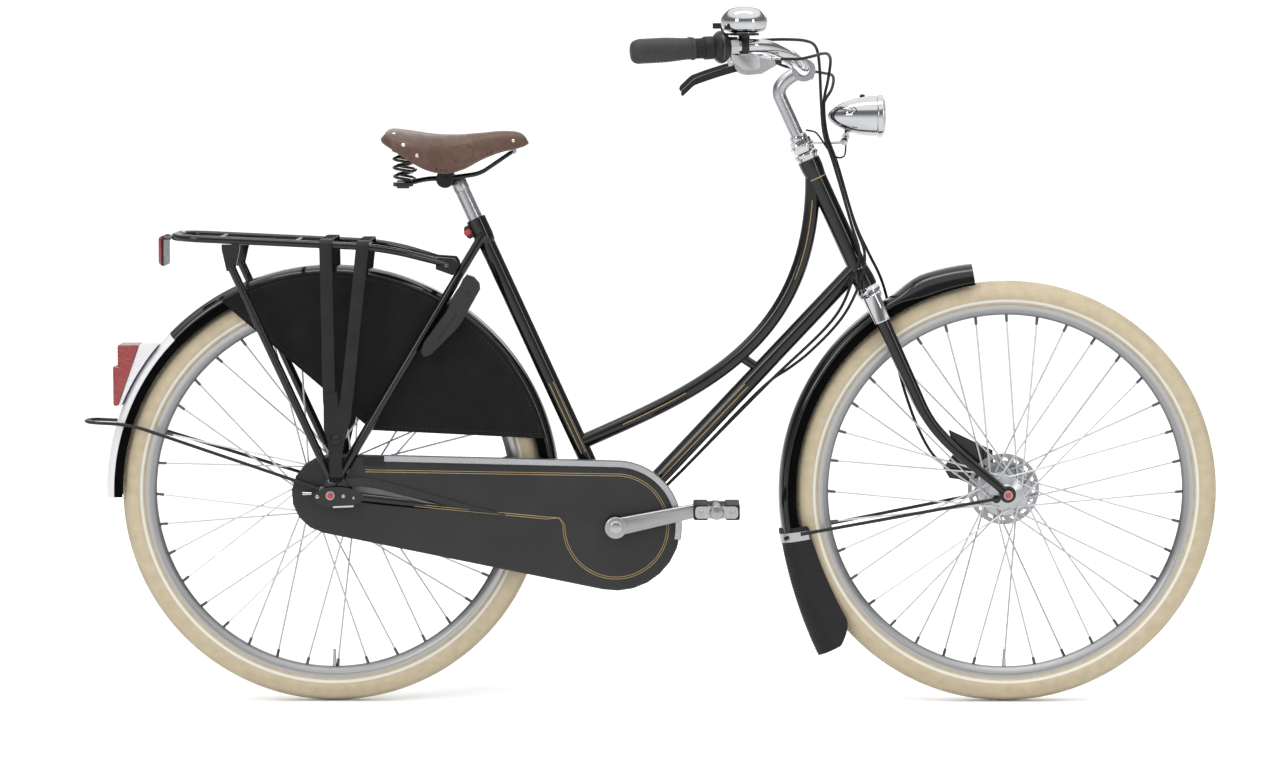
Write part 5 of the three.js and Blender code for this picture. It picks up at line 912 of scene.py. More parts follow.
def shroud():
    """The bright cap over the crown, with a socket round the top of each blade."""
    shape = Shape()
    top = CROWN_HEIGHT + 16.35
    rings = []
    for along, size in ((top - 7, 0.99), (top - 6.4, 1), (top - 0.6, 1), (top + 0.9, 0.985), (top + 1.7, 0.95),
                        (top + 2, 0.86), (top + 2, 0.45)):
        rings.append([head(along, f, y) for f, y in ellipse(56, 19 * size, 51.5 * size)])
    shape.loft(rings, chrome)
    for side, _ in SIDES:
        rings = []
        low = CROWN_HEIGHT - 30
        for along, grow in ((low, 0.0), (low + 0.6, 0.5), (low + 2.5, 0.5), (low + 3.5, 0.0), (top, 0.0)):
            rings.append([head(along, f, side * CROWN_SIDE + y)
                          for f, y in ellipse(32, 14.35 + grow, 11.35 + grow)])
        shape.loft(rings, chrome)
    shape.make("crown_cap", "crown_shroud", angle=40)


fork()
shroud()


# Stem, bar and the parts on it
def stem():
    shape = Shape()
    shape.tube([head(HEAD_HIGH - 2), head(HEAD_HIGH + 112), head(HEAD_HIGH + 118)], 11, brushed, 32)
    start = head(HEAD_HIGH + 111)
    neck = bezier(start, start + ALONG * 26, CLAMP + xyz(-22, 0, -11), CLAMP, 20)
    shape.tube(neck, [11 + min(i, 10) * 0.1 for i in range(21)], brushed, 32)
    clamp = [(11.6, -21), (18.4, -21), (19.5, -20), (19.5, 20), (18.4, 21), (11.6, 21)]
    shape.ring(clamp, CLAMP, Y_AXIS, brushed, 40)
    shape.lathe([(STEERER, 0), (15, 0), (15, 7), (14, 9), (11, 9)], head(HEAD_HIGH + 36), ALONG, chrome, 32)
    shape.ring([(3.5, -12), (5, -12), (5, 12), (3.5, 12)], CLAMP + xyz(13, 0, -12), Y_AXIS, chrome, 6)
    shape.make("stem_polished", "stem", angle=35)


def bar_bend(side):
    """The bend of the bar from its clamp to the straight end that carries the grip."""
    start = CLAMP + Y_AXIS * side * 24
    end = on_grip(side, BEND_AT)
    return bezier(start, start + Y_AXIS * side * 92, end - grip_way(side) * 58, end, 32)


def handlebar():
    path = [on_grip(-1, GAP), *reversed(bar_bend(-1)), *bar_bend(1), on_grip(1, GAP)]
    Shape().tube(path, BAR_TUBE, chrome, 32).make("bar_tube", "handlebar")


def grip(side, name):
    """A moulded grip with fine ribs, thinner towards the middle of the bar."""
    profile = [(0.5, -6), (8, -6), (13, -5), (16.6, -2.4), (18.8, 2), (19.5, 6)]
    for i in range(60):
        along = 8 + i * 1.4
        radius = 19.5 - 2.6 * smooth(min(max((along - 45) / 47, 0), 1))
        profile.append((radius - (0.55 if i % 4 == 3 else 0), along))
    profile += [(17.2, 92.2), (18.2, 92.6), (18.2, 97.4), (17.6, 98), (12, 98)]
    Shape().lathe(profile, on_grip(side, 0), -grip_way(side), grip_rubber, 48).make(
        name + "_moulded", name, angle=30)


# Heights along the twist grip, its radius there and the depth of its grooves, then the drum's profile
TWIST = ((0, 15.2, 0), (0.8, 16, 0), (2, 16.2, 0.9), (14, 16.4, 0.9), (15, 16.4, 0), (15.4, 18.2, 0),
         (16.4, 18.5, 0), (29, 18.5, 0), (30, 18, 0))
DRUM = ((13, 0), (17, 0), (20, 2.5), (24.5, 7), (26, 10), (26, 16), (24.5, 19), (20, 23.5), (17, 26), (13, 26))
DRUM_BAND = ((24.8, 12.2), (26.3, 12.4), (26.3, 13.6), (24.8, 13.8))


def twist():
    """The twist shifter's grooved grip and the drum beside it."""
    way = -grip_way(-1)
    shape = Shape()
    rings = []
    turn = Z_AXIS.rotation_difference(way).to_matrix()
    for height, outer, deep in TWIST:
        rings.append([])
        for i, a in enumerate(turns(96)):
            radius = outer - deep * (i // 2 % 2)
            spot = xyz(radius * math.cos(a), radius * math.sin(a), height)
            rings[-1].append(on_grip(-1, SHIFTER_AT) + turn @ spot)
    shape.loft(rings, rubber)
    shape.make("twist_grip", "twist_shifter", angle=30)
    shape = Shape().ring(DRUM, on_grip(-1, HOUSING_AT), way, plastic, 56)
    shape.ring(DRUM_BAND, on_grip(-1, HOUSING_AT), way, dark_steel, 56)
    shape.make("shifter_drum", "shifter_housing", angle=35)


def bracket_place(side, forward, down, across=0.0):
    """A place by a brake bracket, forward along the bar and below it."""
    ahead = -grip_way(side)
    low = (-Z_AXIS + ahead * ahead.z).normalized()
    return on_grip(side, LEVER_AT) + ahead * forward + low * down + ahead.cross(low).normalized() * across


LEVER_STEPS, LEVER_REACH = 28, 100


def brake_lever(side, name):
    """A lever's blade, which bows down from its pivot and hooks at its end."""
    top, low = [], []
    for i in range(LEVER_STEPS + 1):
        share = i / LEVER_STEPS
        bow = 0.7 * share + 0.3 * share * share
        centre = 27 * bow + 10 * max(share - 0.8, 0) / 0.2
        tall = 5.8 * (1 - 0.14 * share)
        top.append((share * LEVER_REACH, centre - tall))
        low.append((share * LEVER_REACH, centre + tall))
    outline = [*top, (LEVER_REACH + 2, (top[-1][1] + low[-1][1]) / 2), *reversed(low)]
    shape = Shape()
    shape.loft([[bracket_place(side, 12 - back, 33 + down, across) for back, down in outline]
                for across in (-2.25, 2.25)], plastic)
    ahead = (bracket_place(side, 0, 0, 1) - bracket_place(side, 0, 0)).normalized()
    shape.lathe(ring_profile(2, 6, -4.5, 4.5, 0.6), bracket_place(side, 12, 33), ahead, zinc, 24)
    shape.make(name + "_blade", name, angle=35, bevel=0.9)


CHEEK = ((-4, 20), (19, 8), (47, 20), (66, 24), (68, 34), (43, 46), (20, 47), (9, 44), (0, 36))


def lever_cheeks(side, word):
    """The two cheeks of the bracket beside the root of its lever."""
    shape = Shape()
    for low, high in ((-7, -3), (3, 7)):
        shape.loft([[bracket_place(side, f, d, across) for f, d in CHEEK] for across in (low, high)], alloy)
    shape.tube([bracket_place(side, 60, 30), bracket_place(side, 78, 28)], [4.2, 3.4], plastic, 14)
    shape.make("brake_cheeks_" + word, "brake_bracket_" + word, angle=30, bevel=1.2, extra=True)


BELL_FOOT = on_grip(-1, BELL_AT) + Z_AXIS * 16
BELL_RADIUS, BELL_HEIGHT = 37.5, 47
BELL_CURVE = ((0.5, 0.11), (0.9, 0.22), (1, 0.5), (0.82, 0.82), (0.5, 0.97), (0.02, 1))


def bell():
    """The bell's dome with a small step in it, its foot and its clamp round the bar."""
    profile = [(18, 0.35), (18.75, 1)] + [(BELL_RADIUS * s.x, BELL_HEIGHT * s.y) for s in spline(BELL_CURVE, 7)]
    profile = [*profile[:9], (profile[9][0] + 0.6, profile[9][1] - 0.4), *profile[9:]]
    shape = Shape().lathe(profile, BELL_FOOT, Z_AXIS, chrome, 64)
    shape.dome(BELL_FOOT + Z_AXIS * 46.6, Z_AXIS, 5, 2.2, chrome)
    shape.lathe([(9, -16), (9, 0), (10.5, 1.5), (10.5, 5)], BELL_FOOT, Z_AXIS, plastic, 24)
    shape.ring(ring_profile(11.6, 14.5, -5.5, 5.5, 0.7), on_grip(-1, BELL_AT), grip_way(-1), plastic, 36)
    shape.make("bell_dome", "bell", angle=45)


stem()
handlebar()
for side, word in SIDES:
    grip(side, "grip_" + word)
    brake_lever(side, "brake_lever_" + word)
    refined("brake_bracket_" + word, alloy, 40, 0.5)
    lever_cheeks(side, word)
twist()
bell()
refined("bell_lever", plastic, 40, 0.4)


# Lamp
KNUCKLE = head(HEAD_HIGH + 23) + xyz(68.8, 0, 9.7)
LAMP_TAIL = KNUCKLE + xyz(-28, 0, 42)
LAMP_RADIUS, LAMP_LENGTH = 34.5, 83
LAMP_CURVE = ((0.004, 0), (0.24, 0.06), (0.52, 0.2), (0.78, 0.42), (0.94, 0.68), (1, 0.9))
LAMP_RIM = ((34.5, 82), (35.4, 82.4), (36.3, 83.4), (36.5, 85), (36.5, 90), (36, 91.4), (34.6, 92), (32.6, 92),
            (31.4, 91), (31, 90))
LAMP_GLASS = ((0.4, 5.65), (10, 5.3), (20, 4.2), (27, 2.6), (31, 1.2), (32, 0.4), (32, 0.0), (0.4, 0.0))


def headlamp():
    """The bullet-shaped shell with its rim, its foot and the domed glass."""
    profile = [*((LAMP_RADIUS * s.x, LAMP_LENGTH * s.y) for s in spline(LAMP_CURVE, 7)), *LAMP_RIM]
    shape = Shape().lathe(profile, LAMP_TAIL, X_AXIS, chrome, 72)
    shape.tube([KNUCKLE, KNUCKLE + xyz(8, 0, 42 - 17)], 4, chrome, 20)
    shape.dome(LAMP_TAIL + xyz(58, 0, 33.2), Z_AXIS, 4.6, 3.0, plastic)
    shape.ring([(2, -8), (6, -8), (6, 8), (2, 8)], KNUCKLE + xyz(2.6, 0, 8), Y_AXIS, chrome, 24)
    shape.make("lamp_shell", "headlamp", angle=40)
    glass = Shape().lathe(LAMP_GLASS, KNUCKLE + xyz(64.35, 0, 42), X_AXIS, clear_lens, 64)
    glass.make("lamp_glass", "headlamp_lens", angle=40)


headlamp()
refined("lamp_bracket", chrome, 50, 0.4)


# Saddle, in places forward of and above the top of the post. Each row has its share of the length, the share of
# the half width there, and how far the top and the lower edge drop, as shares of the depth.
SADDLE = ((0, 0.72, 0.20, 0.28), (0.014, 0.80, 0.15, 0.325), (0.035, 0.88, 0.06, 0.37),
          (0.08, 0.97, 0.04, 0.456), (0.2, 1, 0.085, 0.71), (0.32, 0.86, 0.14, 0.92), (0.44, 0.62, 0.165, 1),
          (0.56, 0.42, 0.155, 0.91), (0.68, 0.3, 0.125, 0.71), (0.8, 0.235, 0.09, 0.56),
          (0.92, 0.2, 0.105, 0.47), (0.97, 0.16, 0.185, 0.42), (1, 0.08, 0.33, 0.37))
SADDLE_LENGTH, SADDLE_BACK, SADDLE_TOP, SADDLE_DEPTH, SADDLE_HALF = 241, -121.7, 86.3, 76, 104
CROWN_POWER, EDGE_POWER = 0.55, 0.75
LEATHER_STEPS, LEATHER_SIDES = 80, 44
# Forward place, drop below the top and radius of the side rivets, and the line of the punched holes
RIVETS = ((-99.8, 6.4, 3.4), (-83.2, 22.8, 3.4), (-60.9, 37, 3.4), (94.5, 15.6, 3))
PUNCHED = ((-30.3, 55), (-0.8, 61.8), (12, 56), (35, 46), (58.5, 33.5))


def post_place(forward, rise, side=0.0):
    return POST_TOP + xyz(forward, side, rise)


def blend_at(table, along):
    """Values between the rows of a table, with smooth joins."""
    row = max(i for i, line in enumerate(table[:-1]) if line[0] <= along or i == 0)
    start, end = table[row], table[row + 1]
    share = (along - start[0]) / (end[0] - start[0])
    before, after = table[max(row - 1, 0)], table[min(row + 2, len(table) - 1)]
    values = []
    for k in range(1, len(start)):
        first = (end[k] - before[k]) / (end[0] - before[0]) * (end[0] - start[0])
        last = (after[k] - start[k]) / (after[0] - start[0]) * (end[0] - start[0])
        s, t = share, share * share
        values.append((2 * s * t - 3 * t + 1) * start[k] + (s * t - 2 * t + s) * first
                      + (3 * t - 2 * s * t) * end[k] + (s * t - t) * last)
    return values


def saddle_skin(along, angle, out=0.0):
    """A place on the leather, by its share of the length and the angle from the left side over the top."""
    wide, high, low = blend_at(SADDLE, along)
    top, bottom = SADDLE_TOP - SADDLE_DEPTH * high, SADDLE_TOP - SADDLE_DEPTH * low
    cos, sin = math.cos(angle), max(math.sin(angle), 0)
    return post_place(SADDLE_LENGTH * along + SADDLE_BACK, bottom + (top + out - bottom) * sin ** CROWN_POWER,
                      (SADDLE_HALF * wide + out) * math.copysign(abs(cos) ** EDGE_POWER, cos))


def skin_foot(x, drop):
    """The angle at which the right side of the leather is a given drop below its top."""
    along = (x - SADDLE_BACK) / SADDLE_LENGTH
    _, high, low = blend_at(SADDLE, along)
    share = 1 - drop / (SADDLE_DEPTH * (low - high))
    return along, math.pi - math.asin(max(share, 0.02) ** (1 / CROWN_POWER))


def rivet(shape, along, angle, radius, height, material):
    """A rivet or a punched hole, square to the leather."""
    spot = saddle_skin(along, angle)
    ahead = saddle_skin(min(along + 0.02, 1), angle) - spot
    round_way = saddle_skin(along, angle - 0.05) - spot
    out = ahead.cross(round_way).normalized()
    if out.dot(spot - post_place(0, 20)) < 0:
        out = -out
    shape.dome(spot + out * 0.2, out, radius, height, material)


def rivet_pair(shape, x, drop, radius, height, material):
    along, angle = skin_foot(x, drop)
    for turned in (angle, math.pi - angle):
        rivet(shape, along, turned, radius, height, material)


def saddle():
    """The leather with its rolled edge, rivets and punched holes, a bare oval and the plate under its back."""
    shape = Shape()
    angles = [math.pi * i / LEATHER_SIDES for i in range(LEATHER_SIDES + 1)]
    places = [0.5 - 0.5 * math.cos(math.pi * i / LEATHER_STEPS) for i in range(LEATHER_STEPS + 1)]
    rings = []
    for along in places:
        _, high, low = blend_at(SADDLE, along)
        outer = [saddle_skin(along, a) for a in angles]
        inner = [saddle_skin(along, a, -min(5, 45 * (low - high))) for a in reversed(angles)]
        for spot in (inner[0], inner[-1]):
            spot.z = outer[0].z
        rings.append([*outer, *inner])
    shape.loft(rings, leather)
    for end in (0, LEATHER_SIDES):
        shape.tube([saddle_skin(along, angles[end]) + Z_AXIS * 1.6 for along in places[6:-6]], 1.9, leather, 10)
    plate = rounded_box(21, 84, 8)
    shape.loft([[post_place(-91.7 + x, z, y) for x, y in plate] for z in (66.3, 70.3)], dark_steel)
    for x, drop, radius in RIVETS:
        rivet_pair(shape, x, drop, radius, 1.6, copper)
    for i in range(5):
        shape.dome(saddle_skin(0.004, math.pi * (0.2 + 0.15 * i), -2), -X_AXIS, 3.4, 1.8, copper)
    # The punched holes are dark discs on the leather, painted shade for their hollows
    for spot in spline(PUNCHED, 4):
        rivet_pair(shape, spot.x, spot.y, 1.5, 0.3, painted_hole_shade)
    for side, _ in SIDES:
        line = []
        for turn in turns(24):
            along, angle = skin_foot(11.3 + 19 * math.cos(turn), 31.4 + 14.8 * math.sin(turn))
            line.append(saddle_skin(along, angle if side < 0 else math.pi - angle, 0.1))
        shape.tube([*line, line[0]], 0.5, leather, 6)
    shape.make("saddle_top", "saddle_leather", angle=50)


# Springs and seat post
SPRING_BACK, SPRING_FOOT, SPRING_HEAD, SPRING_SIDE = -86.7, -7.7, 68.3, 52
SPRING_WIRE, SPRING_TURNS, SPRING_STEPS = 2.4, 4.5, 162
NOSE_BOLT = (94.3, 46.3)
RAIL = 3.5
POST_HEAD = ((11, 0), (12.6, 0.4), (13.2, 2), (13.2, 20), (12, 22), (2, 22))
SEAT_CLAMP = both_sides(((4, -29), (13.8, -29), (15, -27.8), (15, -13), (14, -12)))
CLAMP_NUT = ((0.4, 33.5), (4, 33.5), (4.6, 32.5), (4.6, 28), (7.4, 28), (7.4, 26))
SPRING_CUP = ((5, -6.5), (10.5, -6.5), (11, -3.5), (16.4, -3.3), (17, -2.8), (17, 2.8), (16.2, 3.5), (5, 3.5))


def coil(side):
    """The line of a spring, which is thinner in the middle and closes in at its foot."""
    low, high = SPRING_FOOT + RAIL + GAP + SPRING_WIRE, SPRING_HEAD - 2 - GAP - SPRING_WIRE
    path = []
    for i in range(SPRING_STEPS + 1):
        share = i / SPRING_STEPS
        angle = FULL * SPRING_TURNS * share
        radius = 18 - 2.5 * math.sin(math.pi * share) - 5 * (1 - share) ** 6
        path.append(post_place(radius * math.cos(angle) + SPRING_BACK, low + (high - low) * share,
                               side * (SPRING_SIDE + radius * math.sin(angle))))
    return path


def seat_post():
    """The post, the clamp on it and the two rails, which carry the nose bolt and the springs' cups."""
    shape = Shape()
    neck = seat(POST_LENGTH - 22)
    shape.tube([seat(391), neck], 12.5, brushed, 36)
    shape.lathe(POST_HEAD, neck, ALONG, brushed, 36)
    clamp = post_place(-18.7, 0.3)
    shape.lathe(SEAT_CLAMP, clamp, Y_AXIS, plastic, 40)
    for side, _ in SIDES:
        shape.lathe(CLAMP_NUT, clamp, Y_AXIS * side, plastic, 6)
        cup = post_place(SPRING_BACK, SPRING_FOOT, side * SPRING_SIDE)
        level = [post_place(x, rise, side * 21) for x, rise in ((38.3, 8.3), (-18.7, 0.3), (-45.7, 0.3))]
        shape.tube(bent([post_place(*NOSE_BOLT, side * 7), *level, cup], 14, 8), RAIL, black, 14)
        shape.lathe(SPRING_CUP, cup, Z_AXIS, black, 36)
    shape.tube([post_place(*NOSE_BOLT, -10.5), post_place(*NOSE_BOLT, 10.5)], 5, zinc, 16)
    shape.make("post_and_rails", "seat_post", angle=40)


saddle()
seat_post()
for side, word in SIDES:
    name = "saddle_spring_" + word
    Shape().tube(coil(side), SPRING_WIRE, black, 12).make(name + "_coil", name)


# Fenders
FLARE_FROM, FLARE_LENGTH, FLARE_PEAK, FLARE_RISE, FLARE_FALL = 121.5, 22.7, 0.46, 10, 4
ARCH_STEPS, HEM = 14, 1.3
# Radii and distances from the middle of the dark lips inside the fenders' edges, which are painted shade
# between fender and tyre
SHADE_LIP_LOW, SHADE_LIP_HIGH, SHADE_LIP_SIDE, SHADE_LIP_INSIDE = 351, 365, 26.6, 25.2


def arch(centre, angle, radius, drop):
    """A section across a fender, out over its back and home along its inside."""
    spots = []
    for grow, order in ((0, 1), (FENDER_SHEET, -1)):
        row = []
        for i in range(ARCH_STEPS + 1):
            a = math.pi * (i / ARCH_STEPS - 0.5)
            reach = radius - grow - drop * (1 - math.cos(a))
            row.append(polar(centre, angle, reach, (FENDER_HALF - grow) * math.sin(a)))
        spots += row[::order]
    return spots


def flare(angle):
    """How far the front end of the front fender rises, and how much deeper it gets."""
    share = max((FLARE_FROM - angle) / FLARE_LENGTH, 0)
    swell = smooth(min(share / FLARE_PEAK, 1))
    rise = FLARE_RISE * swell - FLARE_FALL * max(share - FLARE_PEAK, 0) / (1 - FLARE_PEAK)
    return rise, rise + FLARE_RISE * swell


def fender_skin(shape, centre, first, last, material, steps):
    """A fender with a hem, and a near-black lip inside each edge towards the tyre, which is painted shade."""
    angles = [first + (last - first) * i / steps for i in range(steps + 1)]
    rises = [flare(a) if centre == FRONT else (0, 0) for a in angles]
    shape.loft([arch(centre, a, FENDER + rise, FENDER_DROP + deeper)
                for a, (rise, deeper) in zip(angles, rises)], material)
    edges = [FENDER + rise - FENDER_DROP - deeper for rise, deeper in rises]
    for side, _ in SIDES:
        path = [polar(centre, a, edge - 0.2, side * (FENDER_HALF - 0.9)) for a, edge in zip(angles, edges)]
        shape.tube(path, HEM, material, 8)
        # Each lip is a dark sheet that stands for the shade between fender and tyre
        lip = ((SHADE_LIP_LOW, SHADE_LIP_SIDE), (SHADE_LIP_LOW, SHADE_LIP_INSIDE), (SHADE_LIP_HIGH, SHADE_LIP_INSIDE))
        shape.loft([[polar(centre, a, radius, side * across) for radius, across in ((edge, SHADE_LIP_SIDE), *lip)]
                    for a, edge in zip(angles, edges)], inside)
    return shape


def tail_place(rise, reach):
    """A place behind the rear fender's back, at a height over the axle."""
    return xyz(REAR.x - math.sqrt(FENDER ** 2 - rise ** 2) - reach, 0, REAR.z + rise)


LIGHT_TOP, LIGHT_LOW, LIGHT_HALF = 247, 145, 27


def tail_light():
    """The white end of the rear fender with the light's base, and the stepped lens with its ribs."""
    front = [(tail_place(rise, GAP).x, REAR.z + rise) for rise in range(LIGHT_TOP, LIGHT_LOW - 1, -6)]
    top, low = tail_place(LIGHT_TOP, 31.5), tail_place(LIGHT_LOW, 5)
    base = [*[(x + 0.3, z) for x, z in front], (low.x, low.z), (top.x, top.z)]
    shape = fender_skin(Shape(), REAR, 135.66, 181.4, white, 36)
    shape.slab(base, -28, 28, white)
    shape.make("fender_tail", "rear_fender_tail", angle=35, bevel=0.8)
    step = REAR.z + 211
    outline = [(top.x - GAP, top.z), (top.x - 36, top.z), (top.x - 36, step), (top.x - 44, step),
               (low.x - 8, low.z), (low.x - GAP, low.z)]
    Shape().slab(outline, -31, 31, red_lens).make("tail_lens", "tail_light", angle=30, bevel=2.2)
    ribs = Shape()
    start, end = xyz(top.x - 44, 0, step - 3), xyz(low.x - 8, 0, low.z + 3)
    places = [(start.lerp(end, (i + 0.5) / 12), 1.1) for i in range(12)]
    places += [(xyz(top.x - 36, 0, top.z - 6 - i * 6), 1.0) for i in range(5)]
    for spot, radius in places:
        ribs.tube([spot - Y_AXIS * LIGHT_HALF, spot + Y_AXIS * LIGHT_HALF], radius, red_lens, 8)
    ribs.make("tail_lens_ribs", "tail_light", extra=True)


# The flap's angle at its top and how far it reaches round the wheel, in degrees, and its thickness
FLAP_TOP, FLAP_SPAN, FLAP_THICK, FLAP_ROUND_FROM = 189.9, 31.6, 2.4, 0.82


def flap_ring(share, grow):
    """A section of the flap, whose edges hang lower than its back and round off at the end."""
    ring = []
    corner = 1 - 0.42 * (max(share - FLAP_ROUND_FROM, 0) / (1 - FLAP_ROUND_FROM)) ** 2
    for inset, order in ((0, 1), (FLAP_THICK, -1)):
        row = []
        for i in range(17):
            a = math.pi * (i / 16 - 0.5)
            dip = (1 - math.cos(a)) * corner
            radius = 383 + 2 * share + 31.5 * share * share + grow - inset - (46 + 23 * share) * dip
            row.append(polar(FRONT, FLAP_TOP + FLAP_SPAN * share + 2.6 * share * dip, radius,
                             (31.3 + 3 * share - inset + grow) * math.sin(a)))
        ring += row[::order]
    return ring


def mud_flap():
    """A rubber flap with fine ribs across it and a thicker collar at its top."""
    shape = Shape().loft([flap_ring(i / 90, 0.0 if i % 2 else 0.7) for i in range(91)], rubber)
    shape.loft([flap_ring(share, 1.6) for share in (-0.012, 0.0, 0.012, 0.024)], rubber)
    shape.make("flap", "mud_flap", angle=28)


def front_stays():
    """The bright clip round the top of the flap, and the two stays."""
    shape = Shape().loft([flap_ring(share, 1.7) for share in (0.026, 0.05, 0.075, 0.1)], alloy)
    for side, _ in SIDES:
        start = polar(FRONT, 191.4, 350, side * 34.6)
        end = xyz(FRONT.x - 19, side * 58.9, FRONT.z - 7)
        shape.tube([start, end], 3, black, 14)
        shape.dome(polar(FRONT, 191.9, 376, side * 24), xyz(-0.6, side * 0.8, 0), 3.6, 2.2, plastic, 16)
        shape.lathe(screw_profile(7, -3, 2.2, 5.5, 3), end, Y_AXIS * side, black, 20)
    shape.make("front_stays", "front_fender_stays")


for centre, first, last, word in ((REAR, 8, 135.6, "rear"), (FRONT, 98.8, 190.5, "front")):
    shape = fender_skin(Shape(), centre, first, last, black, 72)
    shape.make(word + "_mudguard", word + "_fender", angle=35)
tail_light()
mud_flap()
front_stays()


def rear_stays():
    """One rod from dropout to dropout, which loops out behind the fender."""
    arm = [xyz(REAR.x - back, out, REAR.z + rise)
           for back, out, rise in ((13, 71.4, 9), (336, 34, 114), (413, 34, 118))]
    shape = Shape().tube(bent(over(arm), 30, 8), 3, black, 14)
    for side, _ in SIDES:
        eye = xyz(arm[0].x, side * arm[0].y, arm[0].z)
        shape.lathe(screw_profile(6.5, -3, 2, 5.2, 3), eye, Y_AXIS * side, dark_steel, 20)
    shape.make("rear_stays", "rear_fender_stays")


rear_stays()


GUARD_Y, STITCH_Y, GUARD_RIM, STITCH_RIM, STITCH = 29.45, 30.2, 367.2, 361.5, 3.4


def coat_guard(side, name):
    """The sheet with a thicker hem, and a row of stitches inside the hem."""
    shape = Shape().copy(name, vinyl)
    flat, face = side * GUARD_Y, side * STITCH_Y
    corner = xyz(REAR.x + 67, flat, REAR.z + 106)
    edge = [polar(REAR, 14.5 + 105 * i / 60, GUARD_RIM, flat) for i in range(61)]
    middle = polar(REAR, 67, 300, flat)
    lines = [[polar(REAR, 15.7 + 102.6 * i / 206, STITCH_RIM, face) for i in range(207)]]
    shape.tube(edge, 1.5, vinyl, 8)
    for end in (edge[0], edge[-1]):
        shape.tube([corner, end], 1.5, vinyl, 8)
        way = (end - corner).normalized()
        inward = xyz(-way.z, 0, way.x) * 5.5
        if inward.dot(middle - corner) < 0:
            inward = -inward
        count = int((end - corner).length / STITCH)
        line = [corner.lerp(end, i / count) + inward for i in range(4, count - 2)]
        lines.append([xyz(spot.x, face, spot.z) for spot in line])
    for line in lines:
        for first, last in zip(line[::2], line[1::2]):
            shape.tube([first, first.lerp(last, 0.85)], 0.5, thread_dark, 5)
    shape.make(name + "_sheet", name, angle=25)


for side, word in SIDES:
    coat_guard(side, "coat_guard_" + word)


# Rack, straps and reflector, in places behind the rear axle and above the top of the fender
RACK_FRONT = xyz(-335.743, 37.336, 735)
DECK_FRONT, DECK_BACK, DECK_HALF, DECK_LOW, DECK_HIGH = -88.75, 259.25, 83, 32, 48
RACK_TUBE, STRUT_BACK, STRUT_SIDE, STRUT_FOOT = 6, 161.25, 82, 77
CLASP = ((-356, 747), (-325, 744.8), (-319.8, 737), (-318.8, 731), (-324, 718.2), (-329, 717.2), (-356, 727))


def rack_place(back, side, rise):
    return xyz(REAR.x - back, side, REAR.z + FENDER + rise)


def deck_rise(back):
    """The height of the deck's tubes, which rise towards the back."""
    return DECK_LOW + (DECK_HIGH - DECK_LOW) * (back - DECK_FRONT) / (DECK_BACK - DECK_FRONT)


def rack():
    """The rack's bent tube with its cross bars and front clasps, then the two struts."""
    shape = Shape()
    arm = [RACK_FRONT, rack_place(DECK_FRONT, DECK_HALF, DECK_LOW), rack_place(DECK_BACK, DECK_HALF, DECK_HIGH)]
    for side, _ in SIDES:
        shape.slab(CLASP, *sorted((side * 31, side * 45.5)), plastic)
        shape.dome(xyz(-338, side * 45.5, 733), Y_AXIS * side, 4.2, 2.0, dark_steel, 16)
    shape.tube(bent(over(arm), 55, 10), RACK_TUBE, black, 20)
    ends = [xyz(RACK_FRONT.x, side * (RACK_FRONT.y + RACK_TUBE), RACK_FRONT.z) for side, _ in SIDES]
    shape.tube(ends, RACK_TUBE, black, 20)
    for share in (0.08, 0.42, 0.78):
        back = DECK_FRONT + (DECK_BACK - DECK_FRONT) * share
        shape.tube([rack_place(back, side * DECK_HALF, deck_rise(back)) for side, _ in SIDES], 4, black, 16)
    shape.make("rack_tubes", "luggage_rack")
    for side, word in SIDES:
        name = "rack_strut_" + word
        deck = deck_rise(STRUT_BACK) - RACK_TUBE - 0.5
        foot = xyz(REAR.x + 1.75, side * STRUT_FOOT, REAR.z + 26)
        eye = xyz(foot.x, 0, foot.z)
        shape = Shape().tube([rack_place(STRUT_BACK, side * STRUT_SIDE, deck - 36), foot], 7, black, 20)
        outline = [(-15, deck), (15, deck), (15, deck - 8), (7, deck - 44), (-7, deck - 44), (-15, deck - 8)]
        shape.slab([(rack_place(STRUT_BACK - x, 0, r).x, rack_place(0, 0, r).z) for x, r in outline],
                   side * STRUT_SIDE - 2, side * STRUT_SIDE + 2, black)
        shape.lathe(ring_profile(1, 8, 71, 84, 0.6), eye, Y_AXIS * side, black, 28)
        shape.lathe(screw_profile(5, 84, 87, 4.2, 87.8), eye, Y_AXIS * side, zinc, 6)
        shape.make(name + "_tube", name, angle=35)


STRAP_BACKS, STRAP_RIBS, RIB_STEP = (4.25, -56.75), 9, 14
# Sections across a strap, with two shallow grooves on its outer face, and the plate at the straps' foot
STRAP = ((-10.5, 0), (-9.9, 1.2), (-8.6, 1.5), (-7.9, 1.1), (-7.2, 1.5), (-2.4, 1.5), (-1.7, 1.1), (1.7, 1.1),
         (2.4, 1.5), (7.2, 1.5), (7.9, 1.1), (8.6, 1.5), (9.9, 1.2), (10.5, 0), (9.9, -1.2), (8.6, -1.5),
         (-8.6, -1.5), (-9.9, -1.2))
STRAP_FOOT = ((-539.7, 526), (-539.7, 466), (-532.9, 441.5), (-531, 417), (-530, 385), (-508, 385),
              (-510.8, 417), (-505.9, 441.5), (-494.7, 482), (-490.7, 526), (-508.3, 526), (-515.6, 502),
              (-517.2, 526))


